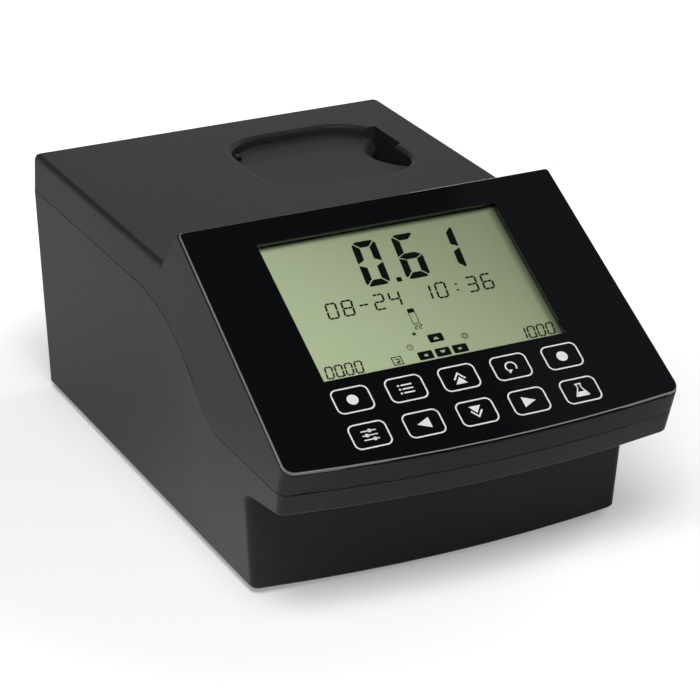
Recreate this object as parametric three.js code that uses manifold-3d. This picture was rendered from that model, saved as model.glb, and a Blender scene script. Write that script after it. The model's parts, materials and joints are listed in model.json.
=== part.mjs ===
// A low bench photometer. Two moulded shells carry a tilted display head and a sample compartment
// under a hinged lid. Inside, a cast bench holds the lamp, the filter wheel, a grating monochromator
// and the detectors, with a battery in the base.
// Millimetres: X to the right, Y to the back, Z up. The origin is on the table, under the middle.

import * as THREE from "three";
import { mergeVertices } from "three/addons/utils/BufferGeometryUtils.js";
import Module from "manifold-3d";

const wasm = await Module();
wasm.setup();

// Clearances and overruns shared by all pieces
const GAP = 0.3; // free space between two pieces that touch in use
const OVER = 4; // how far a cutting tool runs past what it cuts
const WELD = 1e-5; // corners closer than this are one corner
const CORNER_STEPS = 7; // flat strips in each corner of the lid and its recess

// Casing: overall size, drafts and walls
const CASE = {
  width: 205,
  depth: 322,
  topZ: 133.4,
  baseZ: 2.6,
  baseInset: 4.6,
  wall: 2.6,
  seamGap: 0.4,
  seamRearZ: 113.5,
  seamFrontZ: 71.5,
  seamBendBack: 178,
  seamCrownR: 110,
  seamFootR: 25,
  seamAngle: THREE.MathUtils.degToRad(43),
  rearInset: 2.4,
  cornerRear: 3.5,
  baseEdge: 1.4,
  topEdge: 3,
  sideDraft: 0.0436,
};
const HALF = CASE.width / 2;
const REAR = CASE.depth / 2;
const FRONT = -CASE.depth / 2;
const seamBendY = FRONT + CASE.seamBendBack;
const baseHalf = HALF - CASE.baseInset;

// Front of the casing, from the foot of the set-back wall up to the panel's lower edge.
// back is the distance from the foremost plane at the middle, bow is how far the corners lie behind it
const NOSE = {
  footBack: 44.8,
  footBow: 7.8,
  footCorner: 4.5,
  wallTopZ: 50.8,
  wallTopBack: 42.4,
  filletZ: 54.2,
  filletBack: 40.6,
  coveZ: 55.6,
  coveBack: 37,
  lipZ: 60,
  lipBack: 3.6,
  lipBow: 10,
  lipCorner: 5,
  lipEdge: 0.8,
  seamBack: 0.2,
  seamBow: 9.9,
  seamCorner: 6,
  browZ: 84.2,
  browBow: 5,
  browCorner: 6,
};

// Display head: the panel's plane, given by its lower edge and its slope
const HEAD = {
  tilt: THREE.MathUtils.degToRad(29.6),
  edgeBack: 3.5,
  edgeZ: 84.2,
  length: 143.9,
  ridgeBack: 146.2,
  faceDrop: 2.1,
  faceWall: 3.4,
  overhang: 0.7,
};

const ridgeBaseY = FRONT + HEAD.ridgeBack;

// Display panel with its window, the liquid crystal module and the boards behind it
const PANEL = {
  thick: 1.8,
  sideGap: 0.4,
  lowEdge: 1.4,
  bow: 5.1,
  lowCorner: 5.5,
  highCorner: 1.8,
  edge: 0.5,
  glassX: -1.55,
  glassWidth: 126.4,
  glassLow: 45.8,
  glassHeight: 83.1,
  windowThick: 1.2,
  windowRim: 3.6,
};
const LCD = { drop: 3.9, thick: 4.6, backThick: 3.2, backInset: 2.5 };
const TOUCH = { halfWidth: 70, low: 3, high: 39, thick: 1.2, pocketFloor: 3.6 };
const BOARD = {
  halfWidth: 76,
  low: 8,
  high: 118,
  drop: 12.3,
  thick: 1.6,
  chipHeight: 3,
  chipSize: 16,
  plugSize: 18,
  plugDepth: 5,
  postX: 72.6,
  postR: 3,
  postInset: 6,
};

// Recess in the top, the lid in it, and the finger pocket beside the lid
const RECESS = {
  fromRight: 69.3,
  fromRear: 71.6,
  width: 83.2,
  depth: 81.6,
  corner: 25,
  sink: 4.6,
  rimRound: 2.4,
  tubWall: 2.2,
  ledge: 2.5,
};
const LID = {
  gap: 0.5,
  thick: 4.5,
  hingeCorner: 28,
  hingeInset: 4.6,
  hingeRise: 0.6,
  earR: 1.8,
  earLength: 4,
  earInset: 4,
  scoopR: 29,
  scoopReach: 14.2,
  scoopAhead: 1.5,
  scoopRise: 25,
  sealWidth: 2.2,
  sealThick: 1,
  magnetR: 4,
  magnetThick: 2,
  magnetFromRight: 10.5,
  magnetFromFront: 14.9,
};
const PIN = { r: 0.8, hold: 5, bossWidth: 8, bossBelow: 3.4, bossAbove: 2 };
const POCKET = {
  reachFront: 3.1,
  reachRear: 27.6,
  underLid: 23.5,
  extra: 3.4,
  depth: 16.6,
  inset: 13.8,
  wall: 2,
};

// Sample compartment
const WELL = { aside: 2.4, width: 40, depth: 62, wall: 1.8, floorZ: 46, tab: 5, tabThick: 2, portR: 5 };
const VIAL = { r: 12.3, floor: 2.8, height: 55.6, portR: 4, notch: 3 };

// Optical bench and the light path; axisZ is the height of the beam
const BENCH = {
  fromLeft: 16.5,
  fromRight: 30.5,
  fromFront: 77,
  fromRear: 25,
  lowZ: 34,
  topZ: 40,
  corner: 8,
  axisZ: 62,
};
const POST = { r: 5, insetX: 10, insetY: 8 };
const LAMP = {
  fromLeft: 36.5,
  fromRear: 68,
  holderR: 12,
  holderLow: 28,
  holderTop: 47,
  flangeR: 16,
  flangeThick: 3.4,
  socketR: 3.3,
  socketDepth: 5,
  bulbR: 4.5,
  bulbTop: 69,
};
const HOUSE = {
  half: 17,
  wall: 3,
  topZ: 84,
  finHeight: 7,
  finThick: 2,
  fins: 5,
  barrelR: 10,
  barrelReach: 31,
};
const LENS = { r: 7, edge: 1.6, crown: 1.3, fromLamp: 26 };
const WHEEL = {
  fromLamp: 35,
  rim: 2.3,
  thick: 3,
  pitchR: 14,
  holeR: 4.3,
  holes: 5,
  hubR: 4,
  hubThick: 2,
  shaftR: 1,
};
const FILTER = { thick: 2, count: 3 };
const WHEEL_MOTOR = { r: 10, length: 12, fromWheel: 3 };
const MONO = {
  insetLeft: 2,
  pastExit: 18.4,
  insetFront: 0.6,
  fromLamp: 53.2,
  topZ: 86,
  wall: 1.8,
  portR: 4.5,
};
const SLIT = { width: 18, height: 33, thick: 1, inset: 2.8, openWidth: 1, openHeight: 8 };
const MIRROR = {
  r: 15,
  thick: 6,
  fromFront: 17.8,
  pastEntrance: 8,
  beforeExit: 7.6,
  turn: THREE.MathUtils.degToRad(10.7),
};
const UPRIGHT = { width: 34, thick: 5, topZ: 78 };
const GRATING = { fromRear: 19.8, width: 22, thick: 6, height: 24 };
const TABLE = { r: 15, thick: 4, shaftR: 3, shaftLow: 9.3, bearingR: 7, bearingLow: 26 };
const GEAR = {
  toothSize: 1,
  sectorTeeth: 42,
  sectorCount: 9,
  pinionTeeth: 14,
  pressure: THREE.MathUtils.degToRad(25),
  addendumShare: 0.8,
  dedendumShare: 1.15,
  backlash: 0.24,
  lowZ: 10,
  thick: 4,
  hubR: 6,
  hubThick: 8,
  pinionThick: 5,
  pinionLow: 9.5,
};
const DRIVE = { r: 12, lowZ: 16, shaftR: 1.5, shaftLow: 8.8 };
const SPLITTER = { pastMono: 6.2, size: 14, thick: 1.2 };
const REFERENCE = { aside: 15.6, r: 4.5, length: 6 };
const SAMPLE_LENS = { pastSplitter: 7.9, r: 6.5, edge: 1, crown: 1 };
const SENSOR = {
  r: 4.5,
  length: 4.6,
  boardWidth: 26,
  boardHeight: 34,
  boardThick: 1.6,
  pastWell: 43.6,
};
const REST = { width: 12, depth: 5, rail: 5 };

// Base: battery, lamp hatch, feet and case screws
const BATTERY = {
  aside: 5.6,
  ahead: 2.4,
  width: 48,
  depth: 84,
  height: 24,
  wall: 1.6,
  margin: 3,
  plate: 1.4,
  bar: 8,
};
const HATCH = { size: 36, margin: 2.4, slots: 5, slotWidth: 2.4, slotLength: 20, slotPitch: 5, screwInset: 3.2 };
const FOOT = { r: 7, fromSide: 32.5, fromFront: 69, fromRear: 31, thick: 3.5, sink: 1.2, edge: 0.8 };
const SCREW = {
  fromSide: 18.5,
  fromFront: 66,
  fromRear: 15,
  bossTop: 67.7,
  bossR: 5,
  headR: 3,
  headThick: 2.4,
  shankR: 1.5,
  length: 15,
  shelf: 5,
  driveR: 1.3,
  driveDepth: 1.2,
};
const HATCH_SCREW = { headR: 1.9, headThick: 0.7, shankR: 0.9, length: 6 };

// Rear connectors
const BAY = { z: 34, fromRear: 5.1, width: 130, height: 30, lip: 4, plate: 2 };
const PORTS = {
  endLeft: 7,
  endRight: 31,
  boardLow: 8.5,
  boardHigh: 52,
  fromPlate: 7.9,
  boardThick: 1.6,
};
const INLET = { fromEnd: 15, width: 10, height: 11, proud: 1.3, bore: 3.2, boreDepth: 7, pinR: 1 };
const USB_A = {
  fromInlet: 26,
  width: 14.4,
  height: 7.4,
  openWidth: 12.6,
  openHeight: 4.8,
  depth: 7,
  tongue: 1.7,
  proud: 1.2,
};
const USB_C = {
  fromInlet: 50,
  width: 10.2,
  height: 4.6,
  openWidth: 8.4,
  openHeight: 2.7,
  depth: 6,
  tongue: 0.7,
  proud: 1.2,
};
const ROCKER = {
  fromEnd: 19,
  fromPlate: 2.3,
  r: 9.1,
  centre: 3.2,
  throw: THREE.MathUtils.degToRad(12),
  height: 13,
  wall: 1.6,
  bezel: 1.6,
  bezelThick: 1.2,
  floor: 1.6,
};
const RIBBON = { x: -42, width: 16, thick: 0.8, bend: 5, topZ: 127, lowZ: 52.4, offset: 4 };

// Places that follow from the sizes above
const recessAt = { x: HALF - RECESS.fromRight, y: REAR - RECESS.fromRear };
const wellAt = { x: recessAt.x + WELL.aside, y: recessAt.y };
const pocketAt = {
  front: recessAt.y - POCKET.reachFront,
  rear: recessAt.y + POCKET.reachRear,
  low: recessAt.y - POCKET.underLid,
  high: recessAt.y + POCKET.underLid,
};
const benchAt = {
  left: -HALF + BENCH.fromLeft,
  right: HALF - BENCH.fromRight,
  front: FRONT + BENCH.fromFront,
  rear: REAR - BENCH.fromRear,
};
const postAt = {
  left: benchAt.left + POST.insetX,
  right: benchAt.right - POST.insetX,
  front: benchAt.front + POST.insetY,
  rear: benchAt.rear - POST.insetY,
};
const lampAt = { x: -HALF + LAMP.fromLeft, y: REAR - LAMP.fromRear };
const barrelEnd = lampAt.y - HOUSE.barrelReach;
const wheelR = WHEEL.pitchR + WHEEL.holeR + WHEEL.rim;
const wheelAt = { x: lampAt.x + WHEEL.pitchR, y: lampAt.y - WHEEL.fromLamp };
const wheelMotorRear = wheelAt.y - WHEEL_MOTOR.fromWheel;
const wheelMotorFront = wheelMotorRear - WHEEL_MOTOR.length;
const monoAt = {
  left: benchAt.left + MONO.insetLeft,
  right: wellAt.x + MONO.pastExit,
  front: benchAt.front + MONO.insetFront,
  rear: lampAt.y - MONO.fromLamp,
};
const slitY = monoAt.rear - SLIT.inset;
const mirrorAt = {
  y: monoAt.front + MIRROR.fromFront,
  inX: lampAt.x + MIRROR.pastEntrance,
  outX: wellAt.x - MIRROR.beforeExit,
};
const gratingAt = { x: (lampAt.x + wellAt.x) / 2, y: monoAt.rear - GRATING.fromRear };
const splitterY = monoAt.rear + SPLITTER.pastMono;
const sampleLensY = splitterY + SAMPLE_LENS.pastSplitter;
const referenceX = wellAt.x - REFERENCE.aside;
const sensorY = wellAt.y + SENSOR.pastWell;
const batteryAt = { x: wellAt.x - BATTERY.aside, y: wellAt.y - BATTERY.ahead };
const footAt = { x: HALF - FOOT.fromSide, front: FRONT + FOOT.fromFront, rear: REAR - FOOT.fromRear };
const screwAt = { x: HALF - SCREW.fromSide, front: FRONT + SCREW.fromFront, rear: REAR - SCREW.fromRear };
const bayY = REAR - BAY.fromRear;
const bayX = [-BAY.width / 2, BAY.width / 2];
const inletX = bayX[0] + INLET.fromEnd;
const usbAX = inletX + USB_A.fromInlet;
const usbCX = inletX + USB_C.fromInlet;
const rockerX = bayX[1] - ROCKER.fromEnd;
const portBoardX = [bayX[0] + PORTS.endLeft, bayX[1] - PORTS.endRight];
const portBoardY = bayY - PORTS.fromPlate;
const rockerY = bayY - ROCKER.fromPlate;
const ribbonRear = portBoardY - RIBBON.offset;

// Shape helpers. A solid is a closed body that can be joined and cut.

function solidOf(geometry) {
  const bare = geometry.clone();
  bare.deleteAttribute("normal");
  bare.deleteAttribute("uv");
  const merged = mergeVertices(bare, WELD);
  const index = merged.index.array;
  const place = merged.attributes.position.array;
  const kept = [];
  for (let i = 0; i < index.length; i += 3) {
    const [a, b, c] = [index[i], index[i + 1], index[i + 2]];
    if (a !== b && b !== c && c !== a) kept.push(a, b, c);
  }
  return new wasm.Manifold(
    new wasm.Mesh({ numProp: 3, vertProperties: Float32Array.from(place), triVerts: Uint32Array.from(kept) }),
  );
}

function geometryOf(solid) {
  const { vertProperties, triVerts } = solid.getMesh();
  const geometry = new THREE.BufferGeometry();
  geometry.setAttribute("position", new THREE.BufferAttribute(Float32Array.from(vertProperties), 3));
  geometry.setIndex(new THREE.BufferAttribute(Uint32Array.from(triVerts), 1));
  geometry.computeVertexNormals();
  return geometry;
}

function boxGeometry([x0, x1], [y0, y1], [z0, z1]) {
  const geometry = new THREE.BoxGeometry(x1 - x0, y1 - y0, z1 - z0);
  return geometry.translate((x0 + x1) / 2, (y0 + y1) / 2, (z0 + z1) / 2);
}

const box = (x, y, z) => solidOf(boxGeometry(x, y, z));
const around = (middle, size) => [middle - size / 2, middle + size / 2];
const turned = (geometry, angle) => geometry.clone().rotateZ(angle);

// A round rod along z, x or y, from low to high, about a line through the given place
function rodGeometry(axis, r, [low, high], at, sides = 16) {
  const geometry = new THREE.CylinderGeometry(r, r, high - low, sides);
  const middle = (low + high) / 2;
  if (axis === "z") return geometry.rotateX(Math.PI / 2).translate(at.x, at.y, middle);
  if (axis === "x") return geometry.rotateZ(Math.PI / 2).translate(middle, at.y, at.z);
  return geometry.translate(at.x, middle, at.z);
}

const rod = (axis, r, span, at, sides) => solidOf(rodGeometry(axis, r, span, at, sides));

// A flat outline of [x, y] points made thick along z
function slabGeometry(outline, [low, high]) {
  const shape = new THREE.Shape(outline.map(([x, y]) => new THREE.Vector2(x, y)));
  const geometry = new THREE.ExtrudeGeometry(shape, { depth: high - low, bevelEnabled: false, steps: 1 });
  return geometry.translate(0, 0, low);
}

const slab = (outline, span) => solidOf(slabGeometry(outline, span));

// A side profile of [y, z] points made wide along x
function profileSolid(outline, [left, right]) {
  const geometry = slabGeometry(outline, [left, right]);
  const turn = new THREE.Matrix4().set(0, 0, 1, 0, 1, 0, 0, 0, 0, 1, 0, 0, 0, 0, 0, 1);
  return solidOf(geometry.applyMatrix4(turn));
}

// A skin through closed rings with equal numbers of [x, y, z] points, capped at both ends
function loftSolid(rings) {
  const count = rings[0].length;
  const index = [];
  rings.slice(1).forEach((_, k) => {
    for (let i = 0; i < count; i++) {
      const j = (i + 1) % count;
      const [a, b] = [k * count + i, k * count + j];
      index.push(a, b, b + count, a, b + count, a + count);
    }
  });
  const flat = (ring) => ring.map(([x, y]) => new THREE.Vector2(x, y));
  const last = (rings.length - 1) * count;
  THREE.ShapeUtils.triangulateShape(flat(rings[0]), []).forEach(([a, b, c]) => index.push(a, c, b));
  THREE.ShapeUtils.triangulateShape(flat(rings.at(-1)), []).forEach(([a, b, c]) =>
    index.push(last + a, last + b, last + c),
  );
  const geometry = new THREE.BufferGeometry();
  geometry.setAttribute("position", new THREE.Float32BufferAttribute(rings.flat(2), 3));
  geometry.setIndex(index);
  return solidOf(geometry);
}

// A rectangle with round corners, anticlockwise
function roundedRect(x, y, width, depth, r, steps = 4) {
  const outline = [];
  [[1, 1], [-1, 1], [-1, -1], [1, -1]].forEach(([sx, sy], quarter) => {
    for (let k = 0; k <= steps; k++) {
      const angle = ((quarter + k / steps) * Math.PI) / 2;
      outline.push([
        x + sx * (width / 2 - r) + r * Math.cos(angle),
        y + sy * (depth / 2 - r) + r * Math.sin(angle),
      ]);
    }
  });
  return outline;
}

const lift = (outline, z) => outline.map(([x, y]) => [x, y, z]);
const union = (first, ...others) => others.reduce((sum, next) => sum.add(next), first);
const cut = (first, ...tools) => tools.reduce((rest, tool) => rest.subtract(tool), first);

// A lens turned about z: two crowned faces and a straight rim
function lensGeometry(r, edge, crown) {
  const profile = [];
  const steps = 3;
  for (let k = 0; k <= steps; k++) {
    const share = k / steps;
    profile.push(new THREE.Vector2(r * share, -edge / 2 - crown * (1 - share * share)));
  }
  for (let k = steps; k >= 0; k--) {
    const share = k / steps;
    profile.push(new THREE.Vector2(r * share, edge / 2 + crown * (1 - share * share)));
  }
  return new THREE.LatheGeometry(profile, 16);
}

// Casing shape. The seam runs level at the back, falls in an S and runs level round the front.

const seamCrown = [seamBendY, CASE.seamRearZ - CASE.seamCrownR];
const crownEnd = [
  seamCrown[0] - CASE.seamCrownR * Math.sin(CASE.seamAngle),
  seamCrown[1] + CASE.seamCrownR * Math.cos(CASE.seamAngle),
];
const footRise = CASE.seamFootR * (1 - Math.cos(CASE.seamAngle));
const seamRun = (crownEnd[1] - CASE.seamFrontZ - footRise) / Math.tan(CASE.seamAngle);
const seamFoot = [
  crownEnd[0] - seamRun - CASE.seamFootR * Math.sin(CASE.seamAngle),
  CASE.seamFrontZ + CASE.seamFootR,
];

function seamPoints(shift) {
  const points = [[REAR + OVER, CASE.seamRearZ + shift]];
  const crownSteps = 7;
  for (let k = 0; k <= crownSteps; k++) {
    const angle = (CASE.seamAngle * k) / crownSteps;
    points.push([
      seamCrown[0] - CASE.seamCrownR * Math.sin(angle),
      seamCrown[1] + CASE.seamCrownR * Math.cos(angle) + shift,
    ]);
  }
  const footSteps = 4;
  for (let k = footSteps; k >= 0; k--) {
    const angle = (CASE.seamAngle * k) / footSteps;
    points.push([
      seamFoot[0] + CASE.seamFootR * Math.sin(angle),
      seamFoot[1] - CASE.seamFootR * Math.cos(angle) + shift,
    ]);
  }
  points.push([FRONT - OVER, CASE.seamFrontZ + shift]);
  return points;
}

const SEAM = seamPoints(0);

function seamHeight(y) {
  const next = SEAM.findIndex(([place]) => place <= y);
  if (next < 1) return CASE.seamRearZ;
  const [y0, z0] = SEAM[next - 1];
  const [y1, z1] = SEAM[next];
  return z0 + ((z1 - z0) * (y - y0)) / (y1 - y0);
}

const aboveSeam = (shift) =>
  profileSolid(
    [...seamPoints(shift), [FRONT - OVER, 2 * CASE.topZ], [REAR + OVER, 2 * CASE.topZ]],
    [-HALF - OVER, HALF + OVER],
  );

// Half width of the top shell: upright below the panel's lower edge, drafted above it
const topHalf = (z) => HALF - Math.max(0, z - NOSE.browZ) * CASE.sideDraft;

// Half width of the bottom shell: straight lines from the base up to the seam
function bottomHalf(y, z) {
  const seamZ = seamHeight(y);
  return baseHalf + ((topHalf(seamZ) - baseHalf) * (z - CASE.baseZ)) / (seamZ - CASE.baseZ);
}

const rearAt = (z) =>
  z > CASE.seamRearZ
    ? REAR - (z - CASE.seamRearZ) * CASE.sideDraft
    : REAR - (CASE.rearInset * (CASE.seamRearZ - z)) / (CASE.seamRearZ - CASE.baseZ);

// One level outline of the casing, anticlockwise from the right rear corner.
// The front is a shallow bow whose corners are tangent to it and to the sides.
const SIDE_STATIONS = [
  seamBendY,
  ...[0.28, 0.52, 0.76].map((share) => seamBendY + (crownEnd[0] - seamBendY) * share),
  crownEnd[0],
  seamFoot[0],
];

function caseRing({ z, halfAt, front, bow, corner, inset = 0 }) {
  const rear = rearAt(z) - inset;
  const rearR = Math.max(CASE.cornerRear - inset, CASE.baseEdge / 2);
  const frontR = Math.max(corner - inset, CASE.baseEdge / 2);
  const half = halfAt(front, z) - inset;
  const rearHalf = halfAt(rear, z) - inset;
  let tangentX = half - frontR;
  let slope = 0;
  for (let pass = 0; pass < 3; pass++) {
    slope = Math.atan((2 * bow * tangentX) / (half * half));
    tangentX = half - frontR + frontR * Math.sin(slope);
  }
  const bowAt = (x) => front + inset + bow * (x / half) ** 2;
  const centreY = bowAt(tangentX) + frontR * Math.cos(slope);
  const right = [];
  const cornerSteps = 3;
  for (let k = 0; k <= cornerSteps; k++) {
    const angle = (Math.PI / 2) * (1 - k / cornerSteps);
    right.push([rearHalf - rearR + rearR * Math.cos(angle), rear - rearR + rearR * Math.sin(angle)]);
  }
  SIDE_STATIONS.forEach((y) => right.push([halfAt(y, z) - inset, y]));
  const frontSteps = 4;
  for (let k = 0; k <= frontSteps; k++) {
    const angle = -(Math.PI / 2 - slope) * (k / frontSteps);
    right.push([half - frontR + frontR * Math.cos(angle), centreY + frontR * Math.sin(angle)]);
  }
  [0.75, 0.5, 0.25].forEach((share) => right.push([tangentX * share, bowAt(tangentX * share)]));
  const left = right.map(([x, y]) => [-x, y]);
  const ring = [...left, [0, bowAt(0)], ...right.reverse()];
  return lift(ring, z);
}

const topRing = (z, front, bow, inset = 0) =>
  caseRing({ z, halfAt: (_, height) => topHalf(height), front, bow, corner: NOSE.browCorner, inset });

const bottomRing = (z, back, bow, corner, inset = 0, halfZ = z) =>
  caseRing({ z, halfAt: (y) => bottomHalf(y, halfZ), front: FRONT + back, bow, corner, inset })
    .map(([x, y]) => [x, y, z]);

// The bottom shell's body, shrunk on all sides by a wall
function bottomBody(inset) {
  const { footBow, footCorner, lipBow, lipCorner } = NOSE;
  const high = CASE.seamRearZ + OVER;
  const rise = inset;
  const foot = inset ? [] : [bottomRing(CASE.baseZ, NOSE.footBack, footBow, footCorner, CASE.baseEdge)];
  const low = CASE.baseZ + (inset || CASE.baseEdge);
  return loftSolid([
    ...foot,
    bottomRing(low, NOSE.footBack, footBow, footCorner, inset),
    bottomRing(NOSE.wallTopZ + rise, NOSE.wallTopBack, footBow, footCorner, inset),
    bottomRing(NOSE.filletZ + rise, NOSE.filletBack, footBow, footCorner, inset),
    bottomRing(NOSE.coveZ + rise, NOSE.coveBack, footBow, footCorner, inset),
    bottomRing(NOSE.lipZ + rise, NOSE.lipBack + NOSE.lipEdge, lipBow, lipCorner, inset),
    bottomRing(NOSE.lipZ + NOSE.lipEdge + rise, NOSE.lipBack, lipBow, lipCorner, inset),
    bottomRing(CASE.seamFrontZ + rise, NOSE.seamBack, NOSE.seamBow, NOSE.seamCorner, inset),
    bottomRing(high, NOSE.seamBack, NOSE.seamBow, NOSE.seamCorner, inset),
  ]);
}

// Places in the head's own frame: along is up the slope, out is away from the face
const headY = FRONT + HEAD.edgeBack;
const headPoint = (along, out) => [
  headY + along * Math.cos(HEAD.tilt) - out * Math.sin(HEAD.tilt),
  HEAD.edgeZ + along * Math.sin(HEAD.tilt) + out * Math.cos(HEAD.tilt),
];
const headFrame = new THREE.Matrix4()
  .makeTranslation(0, headY, HEAD.edgeZ)
  .multiply(new THREE.Matrix4().makeRotationX(HEAD.tilt));
const inHead = (geometry) => solidOf(geometry.applyMatrix4(headFrame));

// The top shell's body, shrunk by a wall: a rear block with a round top edge, joined to the head
function topBody(inset, faceInset) {
  const low = CASE.seamFrontZ - OVER;
  const outline = (z, extra = 0) => {
    const share = Math.min(1, (z - CASE.seamFrontZ) / (NOSE.browZ - CASE.seamFrontZ));
    const front = FRONT + NOSE.seamBack * (1 - share);
    const bow = NOSE.seamBow + (NOSE.browBow - NOSE.seamBow) * share;
    return topRing(z, front, bow, inset + extra);
  };
  const top = CASE.topZ - inset;
  const edge = inset ? inset / 2 : CASE.topEdge;
  const roundShares = [0, 0.5, 1];
  const roundRings = roundShares.map((share) => {
    const angle = (share * Math.PI) / 2;
    return outline(top - edge * (1 - Math.sin(angle)), edge * (1 - Math.cos(angle)));
  });
  const keepRear = box([-HALF, HALF], [ridgeBaseY - 2 * OVER, REAR], [low, 2 * CASE.topZ]);
  const rear = loftSolid([outline(low), outline(NOSE.browZ), ...roundRings]).intersect(keepRear);
  const crown = headPoint(HEAD.length + HEAD.overhang, -HEAD.faceDrop);
  const block = loftSolid([outline(low), outline(NOSE.browZ), outline(crown[1] + OVER)]);
  const backAngle = Math.atan2(crown[1] - CASE.topZ, ridgeBaseY - crown[0]);
  const base = [ridgeBaseY - inset / Math.tan(backAngle / 2 + Math.PI / 4), top];
  const faceOut = -HEAD.faceDrop - faceInset;
  const lowFace = headPoint(-HEAD.length / 10, faceOut);
  const ridge = insetRidge(crown, backAngle, inset, faceOut);
  const profile = [lowFace, [lowFace[0], low], [base[0], low], base, ridge];
  return rear.add(block.intersect(profileSolid(profile.reverse(), [-HALF - OVER, HALF + OVER])));
}

// Where the shrunk back slope meets the shrunk face
function insetRidge(crown, backAngle, inset, faceOut) {
  const normal = [Math.sin(backAngle), Math.cos(backAngle)];
  const level = crown[0] * normal[0] + crown[1] * normal[1] - inset;
  const start = headPoint(0, faceOut);
  const along = [Math.cos(HEAD.tilt), Math.sin(HEAD.tilt)];
  const run =
    (level - start[0] * normal[0] - start[1] * normal[1]) / (along[0] * normal[0] + along[1] * normal[1]);
  return [start[0] + run * along[0], start[1] + run * along[1]];
}

// Levels that several pieces share
const LEVEL = {
  lidTop: CASE.topZ - RECESS.sink,
  lidLow: CASE.topZ - RECESS.sink - LID.thick,
  ledgeTop: CASE.topZ - RECESS.sink - LID.thick - GAP,
  ledgeLow: CASE.topZ - RECESS.sink - LID.thick - GAP - RECESS.ledge,
  floorTop: CASE.baseZ + CASE.wall,
};
const recessLeft = recessAt.x - RECESS.width / 2;
const recessRight = recessAt.x + RECESS.width / 2;
const hinge = { x: recessLeft + LID.hingeInset, z: LEVEL.lidTop + LID.hingeRise };
const lidCorner = RECESS.corner - LID.gap;
const recessOutline = (offset) => {
  const [width, depth] = [RECESS.width + 2 * offset, RECESS.depth + 2 * offset];
  return roundedRect(recessAt.x, recessAt.y, width, depth, RECESS.corner + offset, CORNER_STEPS);
};

// Where the recess's wall crosses the hinge line, measured from the recess's middle
const hingeWall = (() => {
  const across = RECESS.corner - LID.hingeInset;
  return RECESS.depth / 2 - RECESS.corner + Math.sqrt(RECESS.corner ** 2 - across ** 2);
})();

// Materials
const plain = (hex, roughness, metalness = 0) =>
  new THREE.MeshStandardMaterial({ color: hex, roughness, metalness });
const MATERIAL = {
  shell: plain(0x3a3b3d, 0.55),
  panel: plain(0x0c0d10, 0.12),
  clear: new THREE.MeshStandardMaterial({ color: 0xdfe8e2, roughness: 0.05, transparent: true, opacity: 0.35 }),
  display: plain(0xa9b48c, 0.4),
  light: plain(0xe8eadd, 0.5),
  board: plain(0x1c5a34, 0.6),
  liner: plain(0x17181a, 0.7),
  rubber: plain(0x1b1b1c, 0.9),
  foam: plain(0x111112, 0.95),
  steel: plain(0xb9bcc0, 0.35, 0.9),
  aluminium: plain(0xaeb1b4, 0.45, 0.9),
  black: plain(0x202124, 0.5, 0.6),
  brass: plain(0xc09a4a, 0.35, 0.9),
  mirror: plain(0xdfe6ec, 0.05, 1),
  ceramic: plain(0xe6e0d2, 0.6),
  cell: plain(0x2b4f86, 0.5),
  ribbon: plain(0x9a9da2, 0.6),
};

const instrument = new THREE.Group();
const head = new THREE.Group();
head.position.set(0, headY, HEAD.edgeZ);
head.rotation.x = HEAD.tilt;
instrument.add(head);

function place(name, shape, material, { at = [0, 0, 0], turn = [0, 0, 0], parent = instrument } = {}) {
  const geometry = shape.isBufferGeometry ? shape : geometryOf(shape);
  const mesh = new THREE.Mesh(geometry, MATERIAL[material]);
  mesh.name = name;
  mesh.position.set(...at);
  mesh.rotation.set(...turn);
  parent.add(mesh);
  return mesh;
}

const sides = [["left", -1], ["right", 1]];
const ends = [["front", screwAt.front], ["rear", screwAt.rear]];
const screwSpots = ends.flatMap(([end, y]) =>
  sides.map(([side, sign]) => ({ name: "case_screw_" + end + "_" + side, x: sign * screwAt.x, y, z: SCREW.bossTop })),
);

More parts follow.
